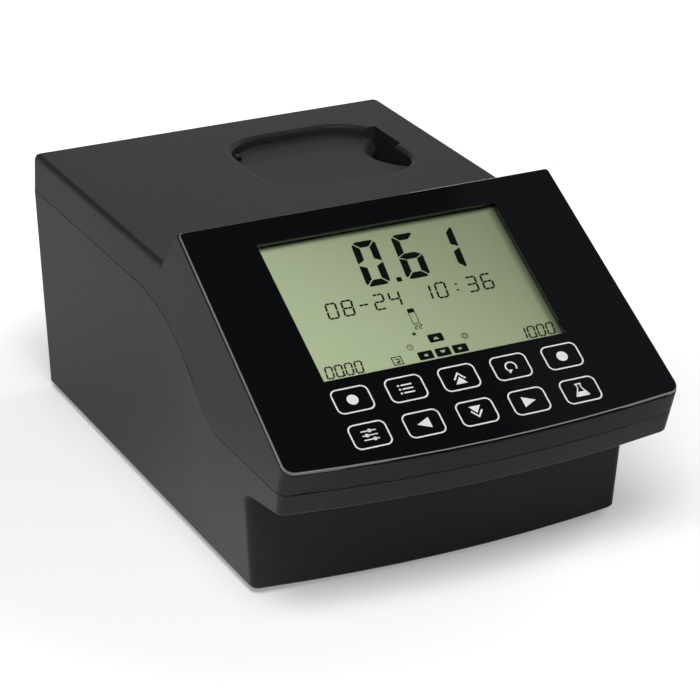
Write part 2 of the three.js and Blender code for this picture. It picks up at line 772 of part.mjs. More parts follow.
// Bottom shell: tray with screw bosses, bench posts, battery box, lamp hatch and connector bay
function bottomShell() {
  const inner = bottomBody(CASE.wall);
  let tray = bottomBody(0).subtract(inner);
  tray = tray.subtract(aboveSeam(-CASE.seamGap / 2));

  const tongueThick = CASE.wall / 2;
  const tongueRise = CASE.wall;
  const slack = GAP + 2 * CASE.sideDraft * tongueRise;
  const band = aboveSeam(-2 * CASE.wall).subtract(aboveSeam(tongueRise));
  const root = bottomBody(CASE.wall / 2).subtract(bottomBody(CASE.wall + slack + tongueThick)).intersect(band);
  const relief = aboveSeam(-CASE.seamGap).subtract(bottomBody(CASE.wall + slack));
  tray = tray.add(root.subtract(relief));

  const floorZ = CASE.baseZ + CASE.wall / 2;
  screwSpots.forEach(({ x, y, z }) => {
    tray = tray.add(rod("z", SCREW.bossR, [floorZ, z], { x, y }));
  });
  const postTop = BENCH.lowZ - GAP;
  [postAt.left, postAt.right].forEach((x) =>
    [postAt.front, postAt.rear].forEach((y) => {
      tray = tray.add(rod("z", POST.r, [floorZ, postTop], { x, y }, 12));
    }),
  );

  const packX = around(batteryAt.x, BATTERY.width + 2 * GAP);
  const packY = around(batteryAt.y, BATTERY.depth + 2 * GAP);
  const packTop = LEVEL.floorTop + BATTERY.height + 2 * GAP;
  const wide = ([a, b], by) => [a - by, b + by];
  tray = tray.add(box(wide(packX, BATTERY.wall), wide(packY, BATTERY.wall), [floorZ, packTop + BATTERY.wall]));
  tray = tray.subtract(box(packX, packY, [CASE.baseZ - OVER, packTop]));
  const slotX = wide(packX, -BATTERY.bar);
  tray = tray.subtract(box(slotX, wide(packY, -BATTERY.bar), [packTop - OVER, packTop + OVER]));
  const coverTop = CASE.baseZ + BATTERY.plate + GAP;
  tray = tray.subtract(box(wide(packX, BATTERY.margin), wide(packY, BATTERY.margin), [0, coverTop]));

  const hatchX = around(lampAt.x, HATCH.size);
  const hatchY = around(lampAt.y, HATCH.size);
  tray = tray.subtract(box(hatchX, hatchY, [0, LEVEL.floorTop + OVER]));
  tray = tray.subtract(box(wide(hatchX, HATCH.margin + GAP), wide(hatchY, HATCH.margin + GAP), [0, coverTop]));
  const lug = hatchScrewSpot();
  const lugTop = LEVEL.floorTop + HATCH_SCREW.length;
  tray = tray.add(rod("z", SCREW.headR, [coverTop, lugTop], lug, 12));
  tray = tray.subtract(rod("z", HATCH_SCREW.shankR + GAP, [0, lugTop + OVER], lug, 10));

  screwSpots.forEach(({ x, y, z }) => {
    tray = tray.subtract(rod("z", SCREW.headR + GAP, [0, z - SCREW.shelf], { x, y }));
    tray = tray.subtract(rod("z", SCREW.shankR + GAP, [0, z + OVER], { x, y }, 12));
  });
  sides.forEach(([, sign]) =>
    [footAt.front, footAt.rear].forEach((y) => {
      const sinkTop = CASE.baseZ + FOOT.sink;
      tray = tray.subtract(rod("z", FOOT.r + GAP, [0, sinkTop], { x: sign * footAt.x, y }, 20));
    }),
  );

  tray = tray.subtract(box(bayX, [bayY - OVER, REAR + OVER], around(BAY.z, BAY.height)));
  const ribTop = PORTS.boardLow - GAP;
  portBoardX.forEach((x) => {
    const ribX = around(x - Math.sign(x) * OVER, CASE.wall);
    tray = tray.add(box(ribX, around(portBoardY, 2 * OVER), [floorZ, ribTop]));
  });
  const plateRib = BAY.z - BAY.height / 2 - BAY.lip - GAP;
  tray = tray.add(box(bayX, [bayY - BAY.plate, bayY], [floorZ, plateRib]));
  return tray;
}

function hatchScrewSpot() {
  const corner = HATCH.size / 2 + HATCH.margin - HATCH.screwInset;
  return { x: lampAt.x + corner, y: lampAt.y - corner };
}

// Top shell: head and top plate, with the lid's recess, the finger pocket and the panel's seat
function topShell() {
  const outer = topBody(0, 0);
  const inner = topBody(CASE.wall, HEAD.faceWall);
  let shell = outer.subtract(inner).intersect(aboveSeam(CASE.seamGap / 2));

  const ribs = [];
  ribs.push(slab(recessOutline(RECESS.tubWall), [LEVEL.ledgeLow, CASE.topZ - CASE.wall / 2]));
  const pocketX = [recessRight - POCKET.inset, recessRight + POCKET.extra];
  const pocketFloor = LEVEL.lidTop - POCKET.depth;
  const { wall } = POCKET;
  ribs.push(
    box(
      [pocketX[0] - wall, pocketX[1] + wall],
      [pocketAt.low - wall, pocketAt.rear + wall],
      [pocketFloor - wall, CASE.topZ - CASE.wall / 2],
    ),
  );
  sides.forEach(([, sign]) => {
    const wallY = recessAt.y + sign * hingeWall;
    const bossY = [wallY - sign * RECESS.tubWall, wallY + sign * PIN.hold].sort((a, b) => a - b);
    const bossZ = [hinge.z - PIN.bossBelow, hinge.z + PIN.bossAbove];
    ribs.push(box(around(hinge.x, PIN.bossWidth), bossY, bossZ));
  });
  screwSpots.forEach(({ x, y, z }) => {
    ribs.push(rod("z", SCREW.bossR - GAP, [z + GAP, CASE.topZ + HEAD.length], { x, y }));
  });
  ribs.forEach((rib) => {
    shell = shell.add(rib.intersect(outer));
  });

  const rimSteps = [0, 0.2, 0.4, 0.6, 0.8, 1];
  const rimRings = rimSteps.map((share) => {
    const angle = (share * Math.PI) / 2;
    const z = CASE.topZ - RECESS.rimRound * (1 - Math.sin(angle));
    return lift(recessOutline(RECESS.rimRound * (1 - Math.cos(angle))), z);
  });
  const overRing = lift(recessOutline(RECESS.rimRound), CASE.topZ + OVER);
  shell = cut(
    shell,
    loftSolid([lift(recessOutline(0), LEVEL.ledgeTop), ...rimRings, overRing]),
    box(pocketX, [pocketAt.front, pocketAt.rear], [pocketFloor, CASE.topZ + OVER]),
    box(pocketX, [pocketAt.low, pocketAt.high], [pocketFloor, LEVEL.ledgeTop + GAP]),
    box(around(wellAt.x, WELL.width), around(wellAt.y, WELL.depth), [LEVEL.ledgeLow - OVER, LEVEL.lidLow]),
    rod("y", PIN.r + GAP, around(recessAt.y, 2 * (hingeWall + PIN.hold + OVER)), hinge, 12),
  );
  screwSpots.forEach(({ x, y, z }) => {
    shell = shell.subtract(rod("z", SCREW.shankR + GAP, [z - OVER, z + SCREW.length], { x, y }, 12));
  });

  const lcdX = around(PANEL.glassX, PANEL.glassWidth + 2 * PANEL.windowRim + 2 * GAP);
  const lcdMiddle = PANEL.glassLow + PANEL.glassHeight / 2;
  const lcdY = around(lcdMiddle, PANEL.glassHeight + 2 * PANEL.windowRim + 2 * GAP);
  const deep = HEAD.faceDrop + HEAD.faceWall + OVER;
  shell = shell.subtract(inHead(boxGeometry(lcdX, lcdY, [-deep, OVER])));
  const touchX = [-TOUCH.halfWidth - GAP, TOUCH.halfWidth + GAP];
  const touchY = [TOUCH.low - GAP, TOUCH.high + GAP];
  shell = shell.subtract(inHead(boxGeometry(touchX, touchY, [-TOUCH.pocketFloor, OVER])));
  boardPosts().forEach(({ x, y }) => {
    const span = [-BOARD.drop + GAP, -HEAD.faceDrop - HEAD.faceWall / 2];
    shell = shell.add(inHead(rodGeometry("z", BOARD.postR, span, { x, y }, 12)));
  });
  return shell;
}

function boardPosts() {
  return [BOARD.low + BOARD.postInset, BOARD.high - BOARD.postInset].flatMap((y) =>
    sides.map(([, sign]) => ({ x: sign * BOARD.postX, y })),
  );
}

place("bottom_shell", bottomShell(), "shell");
place("top_shell", topShell(), "shell");

// Feet: rubber discs sunk in the base
sides.forEach(([side, sign]) =>
  [["front", footAt.front], ["rear", footAt.rear]].forEach(([end, y]) => {
    const rim = FOOT.r - FOOT.edge;
    const profile = [[0, 0], [rim, 0], [FOOT.r, FOOT.edge], [FOOT.r, FOOT.thick], [0, FOOT.thick]];
    const geometry = new THREE.LatheGeometry(profile.map(([r, z]) => new THREE.Vector2(r, z)), 20);
    const at = [sign * footAt.x, y, 0];
    place("foot_" + end + "_" + side, geometry.rotateX(Math.PI / 2), "rubber", { at });
  }),
);

// Case screws: pan heads with a round drive, up through the bottom bosses into the top ones
screwSpots.forEach(({ name, x, y, z }) => {
  const seat = -SCREW.shelf - GAP;
  const low = seat - SCREW.headThick;
  const origin = { x: 0, y: 0 };
  const screw = union(
    rod("z", SCREW.headR, [low, seat], origin, 14),
    rod("z", SCREW.shankR, [seat - GAP, SCREW.length - 2 * GAP], origin, 10),
  ).subtract(rod("z", SCREW.driveR, [low - OVER, low + SCREW.driveDepth], origin, 6));
  place(name, screw, "steel", { at: [x, y, z] });
});

// Display panel: a black plate whose lower edge bows out, with an opening for the display
function panelOutline(offset) {
  const lowHalf = topHalf(headPoint(0, 0)[1]) - PANEL.sideGap + offset;
  const highHalf = topHalf(headPoint(HEAD.length, 0)[1]) - PANEL.sideGap + offset;
  const high = HEAD.length + offset;
  const halfAt = (along) => lowHalf + ((highHalf - lowHalf) * along) / HEAD.length;
  const bowAt = (x) => PANEL.lowEdge - PANEL.bow - offset + PANEL.bow * (x / lowHalf) ** 2;
  const slope = Math.atan((2 * PANEL.bow) / lowHalf);
  const right = [];
  const cornerSteps = 4;
  const lowR = PANEL.lowCorner + offset;
  const centreX = halfAt(0) - lowR;
  const tangentX = centreX + lowR * Math.sin(slope);
  const centreY = bowAt(tangentX) + lowR * Math.cos(slope);
  [0, 0.25, 0.5, 0.75].forEach((share) => right.push([tangentX * share, bowAt(tangentX * share)]));
  for (let k = 0; k <= cornerSteps; k++) {
    const angle = -(Math.PI / 2 - slope) * (1 - k / cornerSteps);
    right.push([centreX + lowR * Math.cos(angle), centreY + lowR * Math.sin(angle)]);
  }
  const highR = PANEL.highCorner + offset;
  const topSteps = 2;
  for (let k = 0; k <= topSteps; k++) {
    const angle = (Math.PI / 2) * (k / topSteps);
    right.push([halfAt(high) - highR + highR * Math.cos(angle), high - highR + highR * Math.sin(angle)]);
  }
  const left = right.slice(1).map(([x, y]) => [-x, y]);
  return [...right, ...left.reverse()];
}

const glassMiddle = PANEL.glassLow + PANEL.glassHeight / 2;
const glassX = (extra) => around(PANEL.glassX, PANEL.glassWidth + 2 * extra);
const glassY = (extra) => around(glassMiddle, PANEL.glassHeight + 2 * extra);

function displayPanel() {
  const plate = loftSolid([
    lift(panelOutline(0), -PANEL.thick),
    lift(panelOutline(0), -PANEL.edge),
    lift(panelOutline(-PANEL.edge), 0),
  ]);
  return plate.subtract(box(glassX(0), glassY(0), [-PANEL.thick - OVER, OVER]));
}
place("display_panel", displayPanel(), "panel", { parent: head });

const windowTop = -PANEL.thick - GAP;
const windowSpan = [windowTop - PANEL.windowThick, windowTop];
const windowShape = boxGeometry(glassX(PANEL.windowRim), glassY(PANEL.windowRim), windowSpan);
place("display_window", windowShape, "clear", { parent: head });

const lcdSpan = [-LCD.drop - LCD.thick, -LCD.drop];
const lcdShape = boxGeometry(glassX(PANEL.windowRim), glassY(PANEL.windowRim), lcdSpan);
place("lcd_module", lcdShape, "display", { parent: head });

const backTop = lcdSpan[0] - GAP;
const backRim = PANEL.windowRim - LCD.backInset;
const backShape = boxGeometry(glassX(backRim), glassY(backRim), [backTop - LCD.backThick, backTop]);
place("lcd_backlight", backShape, "light", { parent: head });

const touchShape = boxGeometry(
  [-TOUCH.halfWidth, TOUCH.halfWidth],
  [TOUCH.low, TOUCH.high],
  [-TOUCH.pocketFloor + GAP, -TOUCH.pocketFloor + GAP + TOUCH.thick],
);
place("touch_board", touchShape, "board", { parent: head });

// Main board: hangs under the display on four posts, with its processor and plugs underneath
function mainBoard() {
  const low = -BOARD.drop - BOARD.thick;
  const middle = (BOARD.low + BOARD.high) / 2;
  const underside = (x, y, width, depth, height) =>
    box(around(x, width), around(y, depth), [low - height, low + BOARD.thick / 2]);
  const { chipSize, chipHeight, plugSize, plugDepth } = BOARD;
  return union(
    box([-BOARD.halfWidth, BOARD.halfWidth], [BOARD.low, BOARD.high], [low, -BOARD.drop]),
    underside(-chipSize, middle, chipSize, chipSize, chipHeight / 2),
    underside(2 * chipSize, middle + chipSize, chipSize, chipSize / 2, chipHeight / 2),
    underside(RIBBON.x, BOARD.high - plugDepth, plugSize, plugDepth, chipHeight),
  );
}
place("main_board", mainBoard(), "board", { parent: head });

// Ribbon cable: from the main board's plug back under the top plate and down to the port board
function ribbonCable() {
  const start = headPoint(BOARD.high - BOARD.plugDepth / 2, -BOARD.drop - BOARD.thick - BOARD.chipHeight - GAP);
  const path = [];
  path.push(start, [start[0] + RIBBON.bend, start[1] - RIBBON.bend / 2]);
  path.push([start[0] + 4 * RIBBON.bend, RIBBON.topZ]);
  const steps = 4;
  const centre = [ribbonRear - RIBBON.bend, RIBBON.topZ - RIBBON.bend];
  for (let k = 0; k <= steps; k++) {
    const angle = (Math.PI / 2) * (1 - k / steps);
    path.push([centre[0] + RIBBON.bend * Math.cos(angle), centre[1] + RIBBON.bend * Math.sin(angle)]);
  }
  path.push([ribbonRear, RIBBON.lowZ + 2 * RIBBON.bend]);
  path.push([portBoardY + PORTS.boardThick / 2, RIBBON.lowZ]);
  const upper = [];
  const lower = [];
  path.forEach(([y, z], i) => {
    const [y0, z0] = path[Math.max(i - 1, 0)];
    const [y1, z1] = path[Math.min(i + 1, path.length - 1)];
    const length = Math.hypot(y1 - y0, z1 - z0);
    const shift = RIBBON.thick / 2 / length;
    upper.push([y - (z1 - z0) * shift, z + (y1 - y0) * shift]);
    lower.push([y + (z1 - z0) * shift, z - (y1 - y0) * shift]);
  });
  return profileSolid([...lower, ...upper.reverse()], around(RIBBON.x, RIBBON.width));
}
place("ribbon_cable", ribbonCable(), "ribbon");

// Lid: a rounded plate that turns on two pins along its left edge, scooped at its right edge
function lidShape() {
  const { width, depth } = RECESS;
  const size = [width - 2 * LID.gap, depth - 2 * LID.gap];
  const across = (corner) => roundedRect(recessAt.x, recessAt.y, ...size, corner, CORNER_STEPS);
  const span = [LEVEL.lidLow, LEVEL.lidTop];
  const leftHalf = box([-HALF, recessAt.x], around(recessAt.y, depth), [0, CASE.topZ]);
  const plate = slab(across(LID.hingeCorner), span)
    .intersect(leftHalf)
    .add(slab(across(lidCorner), span).subtract(leftHalf));
  const edgeZone = box([recessLeft - OVER, hinge.x], around(recessAt.y, depth), [span[0] - OVER, span[1]]);
  const edgeR = LID.thick + LID.hingeRise;
  const scoop = new THREE.SphereGeometry(Math.hypot(LID.scoopR, LID.scoopRise), 48, 32)
    .rotateX(Math.PI / 2)
    .translate(recessRight + LID.scoopReach, recessAt.y - LID.scoopAhead, LEVEL.lidTop + LID.scoopRise);
  const lid = cut(
    plate,
    edgeZone.subtract(rod("y", edgeR, around(recessAt.y, depth + OVER), hinge, 40)),
    solidOf(scoop),
    sealOutline(GAP).subtract(sealHole(-GAP)),
    rod("z", LID.magnetR + GAP, [LEVEL.lidLow - OVER, LEVEL.lidLow + LID.magnetThick + GAP], magnetSpot(), 16),
  );
  const ears = [-1, 1].map((sign) => {
    const outer = hingeWall - LID.earInset;
    const earY = [outer - LID.earLength, outer].map((v) => recessAt.y + sign * v).sort((a, b) => a - b);
    const foot = box(around(hinge.x, 2 * LID.earR), earY, [LEVEL.lidTop - LID.earR, hinge.z]);
    return rod("y", LID.earR, earY, hinge, 20).add(foot);
  });
  return union(lid, ...ears).subtract(rod("y", PIN.r + GAP, around(recessAt.y, depth), hinge, 12).subtract(
    box([-HALF, HALF], around(recessAt.y, 2 * (hingeWall - LID.earInset - LID.earLength)), [0, CASE.topZ]),
  ));
}

const sealSize = (extra) => [WELL.width + 2 * extra, WELL.depth + 2 * extra];
function sealOutline(slack) {
  const [width, depth] = sealSize(2 * LID.sealWidth + slack);
  const outline = roundedRect(wellAt.x, wellAt.y, width, depth, LID.sealWidth + slack, 2);
  return slab(outline, [LEVEL.lidLow - slack, LEVEL.lidLow + LID.sealThick + slack]);
}
function sealHole(slack) {
  const [width, depth] = sealSize(LID.sealWidth + slack);
  const outline = roundedRect(wellAt.x, wellAt.y, width, depth, LID.sealWidth, 2);
  return slab(outline, [LEVEL.lidLow - OVER, LEVEL.lidLow + LID.sealThick + OVER]);
}
function magnetSpot() {
  return { x: recessRight - LID.magnetFromRight, y: recessAt.y - RECESS.depth / 2 + LID.magnetFromFront };
}

place("lid", lidShape(), "shell");
place("lid_seal", sealOutline(0).subtract(sealHole(0)), "foam");
const magnetSpan = [LEVEL.lidLow, LEVEL.lidLow + LID.magnetThick];
place("lid_magnet", rodGeometry("z", LID.magnetR, magnetSpan, magnetSpot(), 16), "steel");
[["front", -1], ["rear", 1]].forEach(([end, sign]) => {
  const inner = hingeWall - LID.earInset - LID.earLength + GAP;
  const outer = hingeWall + PIN.hold - GAP;
  const span = [recessAt.y + sign * inner, recessAt.y + sign * outer].sort((a, b) => a - b);
  place("lid_pin_" + end, rodGeometry("y", PIN.r, span, hinge, 12), "steel");
});

// Cuvette well: a deep tub hung under the ledge, with light ports front and rear
function cuvetteWell() {
  const top = LEVEL.ledgeLow - GAP;
  const outerX = around(wellAt.x, WELL.width + 2 * WELL.wall);
  const outerY = around(wellAt.y, WELL.depth + 2 * WELL.wall);
  const tabY = around(wellAt.y, WELL.depth + 2 * WELL.wall + 2 * WELL.tab);
  const beam = { x: wellAt.x, z: BENCH.axisZ };
  return union(
    box(outerX, outerY, [WELL.floorZ, top]),
    box(outerX, tabY, [top - WELL.tabThick, top]),
  )
    .subtract(
      box(around(wellAt.x, WELL.width), around(wellAt.y, WELL.depth), [WELL.floorZ + WELL.wall, top + OVER]),
    )
    .subtract(rod("y", WELL.portR, around(wellAt.y, WELL.depth + 2 * OVER), beam, 16));
}
place("cuvette_well", cuvetteWell(), "liner");

// Vial adapter: a block that fills the well's lower part, bored for a round vial
function vialAdapter() {
  const low = WELL.floorZ + WELL.wall + GAP;
  const x = around(wellAt.x, WELL.width - 2 * GAP);
  const y = around(wellAt.y, WELL.depth - 2 * GAP);
  const top = low + VIAL.height;
  const centre = { x: wellAt.x, y: wellAt.y };
  const beam = { x: wellAt.x, z: BENCH.axisZ };
  return cut(
    box(x, y, [low, top]),
    rod("z", VIAL.r, [low + VIAL.floor, top + OVER], centre, 32),
    rod("y", VIAL.portR, around(wellAt.y, WELL.depth + OVER), beam, 16),
    box(around(wellAt.x, VIAL.notch), [y[0] - OVER, wellAt.y - VIAL.r + VIAL.notch], [top - VIAL.notch, top + OVER]),
  );
}
place("vial_adapter", vialAdapter(), "liner");

// Optical bench: a cast plate with uprights for the mirrors and rests for the small optics
const mirrorSpots = [
  { name: "collimating_mirror", x: mirrorAt.inX, turn: -MIRROR.turn },
  { name: "focusing_mirror", x: mirrorAt.outX, turn: MIRROR.turn },
];

function opticalBench() {
  const { left, right, front, rear } = benchAt;
  const { corner, lowZ, topZ, axisZ } = BENCH;
  const outline = [
    [left + corner, front],
    [right - corner, front],
    [right, front + corner],
    [right, rear - corner],
    [right - corner, rear],
    [left + corner, rear],
    [left, rear - corner],
    [left, front + corner],
  ];
  let bench = slab(outline, [lowZ, topZ]);
  mirrorSpots.forEach(({ x, turn }) => {
    const back = MIRROR.thick + GAP;
    const upright = boxGeometry(around(0, UPRIGHT.width), [-back - UPRIGHT.thick, -back], [lowZ, UPRIGHT.topZ]);
    bench = bench.add(solidOf(turned(upright, turn).translate(x, mirrorAt.y, 0)));
  });
  const restSpots = [
    { x: wellAt.x, y: splitterY, top: axisZ - SPLITTER.size / 2 },
    { x: wellAt.x, y: sampleLensY, top: axisZ - SAMPLE_LENS.r },
    { x: referenceX - REFERENCE.length / 2, y: splitterY, top: axisZ - REFERENCE.r },
    { x: wheelAt.x, y: (wheelMotorFront + wheelMotorRear) / 2, top: axisZ - WHEEL_MOTOR.r },
  ];
  restSpots.forEach(({ x, y, top }) => {
    bench = bench.add(box(around(x, REST.width), around(y, REST.depth), [lowZ, top - GAP]));
  });
  [-1, 1].forEach((sign) => {
    const railY = wellAt.y + sign * (WELL.depth / 2 - REST.rail);
    bench = bench.add(box(around(wellAt.x, WELL.width), around(railY, REST.rail), [lowZ, WELL.floorZ - GAP]));
  });
  const shaft = { x: gratingAt.x, y: gratingAt.y };
  bench = bench.add(rod("z", TABLE.bearingR, [TABLE.bearingLow, topZ - GAP], shaft, 20));
  return cut(
    bench,
    rod("z", TABLE.shaftR + GAP, [TABLE.bearingLow - OVER, topZ + OVER], shaft, 20),
    rod("z", LAMP.holderR + GAP, [lowZ - OVER, topZ + OVER], { x: lampAt.x, y: lampAt.y }, 28),
  );
}
place("optical_bench", opticalBench(), "aluminium");

// Lamp: a finned house with a lens barrel, over a holder that is changed from below
function lampHouse() {
  const low = BENCH.topZ + GAP;
  const { half, wall, topZ, finHeight, finThick, fins } = HOUSE;
  const x = [lampAt.x - half, lampAt.x + half];
  const y = [lampAt.y - half, lampAt.y + half];
  const beam = { x: lampAt.x, z: BENCH.axisZ };
  let house = union(
    box(x, y, [low, topZ]),
    rod("y", HOUSE.barrelR, [barrelEnd, y[0] + wall], beam, 20),
  );
  const pitch = (2 * half - finThick) / (fins - 1);
  for (let k = 0; k < fins; k++) {
    const finX = x[0] + k * pitch;
    house = house.add(box([finX, finX + finThick], y, [topZ - finThick, topZ + finHeight]));
  }
  const inner = [-half + wall, half - wall];
  return cut(
    house,
    box(inner.map((v) => lampAt.x + v), inner.map((v) => lampAt.y + v), [low - OVER, topZ - wall]),
    rod("y", LENS.r + GAP, [barrelEnd - OVER, y[0] + wall + OVER], beam, 20),
  );
}
place("lamp_house", lampHouse(), "black");

function lampHolder() {
  const centre = { x: 0, y: 0 };
  const flangeTop = BENCH.lowZ - GAP;
  return union(
    rod("z", LAMP.holderR, [LAMP.holderLow, LAMP.holderTop], centre, 28),
    rod("z", LAMP.flangeR, [flangeTop - LAMP.flangeThick, flangeTop], centre, 28),
  ).subtract(rod("z", LAMP.socketR, [LAMP.holderTop - LAMP.socketDepth, LAMP.holderTop + OVER], centre, 14));
}
place("lamp_holder", lampHolder(), "ceramic", { at: [lampAt.x, lampAt.y, 0] });

function lampBulb() {
  const stem = LAMP.socketR - GAP;
  const low = LAMP.holderTop - LAMP.socketDepth + GAP;
  const neck = LAMP.holderTop + GAP;
  const r = LAMP.bulbR;
  const shoulder = neck + r;
  const profile = [[0, low], [stem, low], [stem, neck], [r * 0.8, neck + r / 3], [r, shoulder]];
  const steps = 3;
  for (let k = 0; k <= steps; k++) {
    const angle = (Math.PI / 2) * (k / steps);
    profile.push([r * Math.cos(angle), LAMP.bulbTop - r + r * Math.sin(angle)]);
  }
  profile[profile.length - 1][0] = 0;
  return new THREE.LatheGeometry(profile.map(([x, z]) => new THREE.Vector2(x, z)), 14).rotateX(Math.PI / 2);
}
place("halogen_lamp", lampBulb(), "clear", { at: [lampAt.x, lampAt.y, 0] });
place("condenser_lens", lensGeometry(LENS.r, LENS.edge, LENS.crown), "clear", {
  at: [lampAt.x, lampAt.y - LENS.fromLamp, BENCH.axisZ],
});

// Filter wheel: five ports, three of them glazed, turned by a small motor behind it
const portAngle = (k) => Math.PI + (2 * Math.PI * k) / WHEEL.holes;
const portPlace = (k) => ({ x: WHEEL.pitchR * Math.cos(portAngle(k)), z: WHEEL.pitchR * Math.sin(portAngle(k)) });

function filterWheel() {
  const span = around(0, WHEEL.thick);
  const centre = { x: 0, z: 0 };
  let wheel = union(
    rod("y", wheelR, span, centre, 32),
    rod("y", WHEEL.hubR, [-WHEEL.thick / 2, WHEEL.thick / 2 + WHEEL.hubThick], centre, 14),
  );
  for (let k = 0; k < WHEEL.holes; k++) {
    wheel = wheel.subtract(rod("y", WHEEL.holeR, around(0, WHEEL.thick + OVER), portPlace(k), 14));
  }
  return wheel.subtract(rod("y", WHEEL.shaftR + GAP, around(0, wheelR), centre, 12));
}
place("filter_wheel", filterWheel(), "black", { at: [wheelAt.x, wheelAt.y, BENCH.axisZ] });
for (let k = 1; k <= FILTER.count; k++) {
  const { x, z } = portPlace(k);
  const glass = rodGeometry("y", WHEEL.holeR - GAP, around(0, FILTER.thick), { x: 0, z: 0 }, 14);
  place("filter_glass_" + k, glass, "clear", { at: [wheelAt.x + x, wheelAt.y, BENCH.axisZ + z] });
}
const wheelAxis = { x: 0, z: 0 };
const wheelMotor = union(
  rod("y", WHEEL_MOTOR.r, [wheelMotorFront, wheelMotorRear], wheelAxis, 20),
  rod("y", WHEEL.shaftR, [wheelMotorRear - GAP, wheelAt.y + WHEEL.thick / 2 + WHEEL.hubThick], wheelAxis, 12),
);
place("filter_motor", wheelMotor, "steel", { at: [wheelAt.x, 0, BENCH.axisZ] });

// Monochromator: a cover over two slits, two mirrors and the grating on its turntable
function monoCover() {
  const low = BENCH.topZ + GAP;
  const { wall } = MONO;
  const port = (x) => rod("y", MONO.portR, [monoAt.rear - OVER, monoAt.rear + OVER], { x, z: BENCH.axisZ }, 14);
  return cut(
    box([monoAt.left, monoAt.right], [monoAt.front, monoAt.rear], [low, MONO.topZ]),
    box([monoAt.left + wall, monoAt.right - wall], [monoAt.front + wall, monoAt.rear - wall], [
      low - OVER,
      MONO.topZ - wall,
    ]),
    port(lampAt.x),
    port(wellAt.x),
  );
}
place("monochromator_cover", monoCover(), "black");

[["entrance_slit", lampAt.x], ["exit_slit", wellAt.x]].forEach(([name, x]) => {
  const low = BENCH.topZ + GAP;
  const plate = box(around(0, SLIT.width), around(0, SLIT.thick), [low, low + SLIT.height]);
  const opening = box(around(0, SLIT.openWidth), around(0, OVER), around(BENCH.axisZ, SLIT.openHeight));
  place(name, plate.subtract(opening), "black", { at: [x, slitY, 0] });
});

mirrorSpots.forEach(({ name, x, turn }) => {
  const disc = rodGeometry("y", MIRROR.r, [-MIRROR.thick, 0], { x: 0, z: 0 }, 24);
  place(name, disc, "mirror", { at: [x, mirrorAt.y, BENCH.axisZ], turn: [0, 0, turn] });
});

const tableLow = BENCH.topZ + GAP;
const tableTop = tableLow + TABLE.thick;
const pivot = { x: 0, y: 0 };
const gratingTable = union(
  rod("z", TABLE.r, [tableLow, tableTop], pivot, 24),
  rod("z", TABLE.shaftR, [TABLE.shaftLow, tableLow + GAP], pivot, 16),
);
place("grating_table", gratingTable, "aluminium", { at: [gratingAt.x, gratingAt.y, 0] });
const gratingShape = boxGeometry(around(0, GRATING.width), [0, GRATING.thick], [
  tableTop + GAP,
  tableTop + GAP + GRATING.height,
]);
place("diffraction_grating", gratingShape, "mirror", { at: [gratingAt.x, gratingAt.y, 0] });

// Involute teeth as [radius, angle] pairs for one flank, from the root to the tip
function toothFlank(teeth) {
  const pitchR = (GEAR.toothSize * teeth) / 2;
  const baseR = pitchR * Math.cos(GEAR.pressure);
  const rootR = pitchR - GEAR.dedendumShare * GEAR.toothSize;
  const tipR = pitchR + GEAR.addendumShare * GEAR.toothSize;
  const roll = (r) => {
    const pressure = Math.acos(Math.min(1, baseR / r));
    return Math.tan(pressure) - pressure;
  };
  const halfAtPitch = Math.PI / 2 / teeth - GEAR.backlash / 4 / pitchR;
  const widthAt = (r) => halfAtPitch + roll(pitchR) - roll(Math.max(r, baseR));
  const firstR = Math.max(rootR, baseR);
  const radii = [firstR, (firstR + pitchR) / 2, pitchR, tipR];
  const flank = radii.map((r) => [r, widthAt(r)]);
  if (rootR < baseR) flank.unshift([rootR, widthAt(baseR)]);
  return flank;
}

function toothPoints(teeth, angle) {
  const flank = toothFlank(teeth);
  const rising = flank.map(([r, half]) => [r, angle - half]);
  const falling = flank.map(([r, half]) => [r, angle + half]).reverse();
  return [...rising, ...falling].map(([r, turn]) => [r * Math.cos(turn), r * Math.sin(turn)]);
}

// Toothed sector: a hub with a wedge of teeth towards the motor
function gearSector() {
  const pitch = (2 * Math.PI) / GEAR.sectorTeeth;
  const outline = [];
  const reach = (GEAR.sectorCount - 1) / 2;
  for (let k = -reach; k <= reach; k++) outline.push(...toothPoints(GEAR.sectorTeeth, k * pitch));
  outline.push([0, 0]);
  const top = GEAR.lowZ + GEAR.hubThick;
  return union(
    slab(outline, [GEAR.lowZ, GEAR.lowZ + GEAR.thick]),
    rod("z", GEAR.hubR, [GEAR.lowZ, top], pivot, 20),
  ).subtract(rod("z", TABLE.shaftR + GAP, [GEAR.lowZ - OVER, top + OVER], pivot, 16));
}
place("grating_sector", gearSector(), "brass", { at: [gratingAt.x, gratingAt.y, 0] });

const centreDistance = (GEAR.toothSize * (GEAR.sectorTeeth + GEAR.pinionTeeth)) / 2;
const driveX = gratingAt.x + centreDistance;
function motorPinion() {
  const pitch = (2 * Math.PI) / GEAR.pinionTeeth;
  const outline = [];
  for (let k = 0; k < GEAR.pinionTeeth; k++) outline.push(...toothPoints(GEAR.pinionTeeth, (k + 0.5) * pitch));
  const span = [GEAR.pinionLow, GEAR.pinionLow + GEAR.pinionThick];
  return slab(outline, span).subtract(rod("z", DRIVE.shaftR + GAP, [0, span[1] + OVER], pivot, 12));
}
place("motor_pinion", motorPinion(), "brass", { at: [driveX, gratingAt.y, 0] });
const driveShape = union(
  rod("z", DRIVE.r, [DRIVE.lowZ, BENCH.lowZ - GAP], pivot, 24),
  rod("z", DRIVE.shaftR, [DRIVE.shaftLow, DRIVE.lowZ + GAP], pivot, 12),
);
place("grating_motor", driveShape, "steel", { at: [driveX, gratingAt.y, 0] });

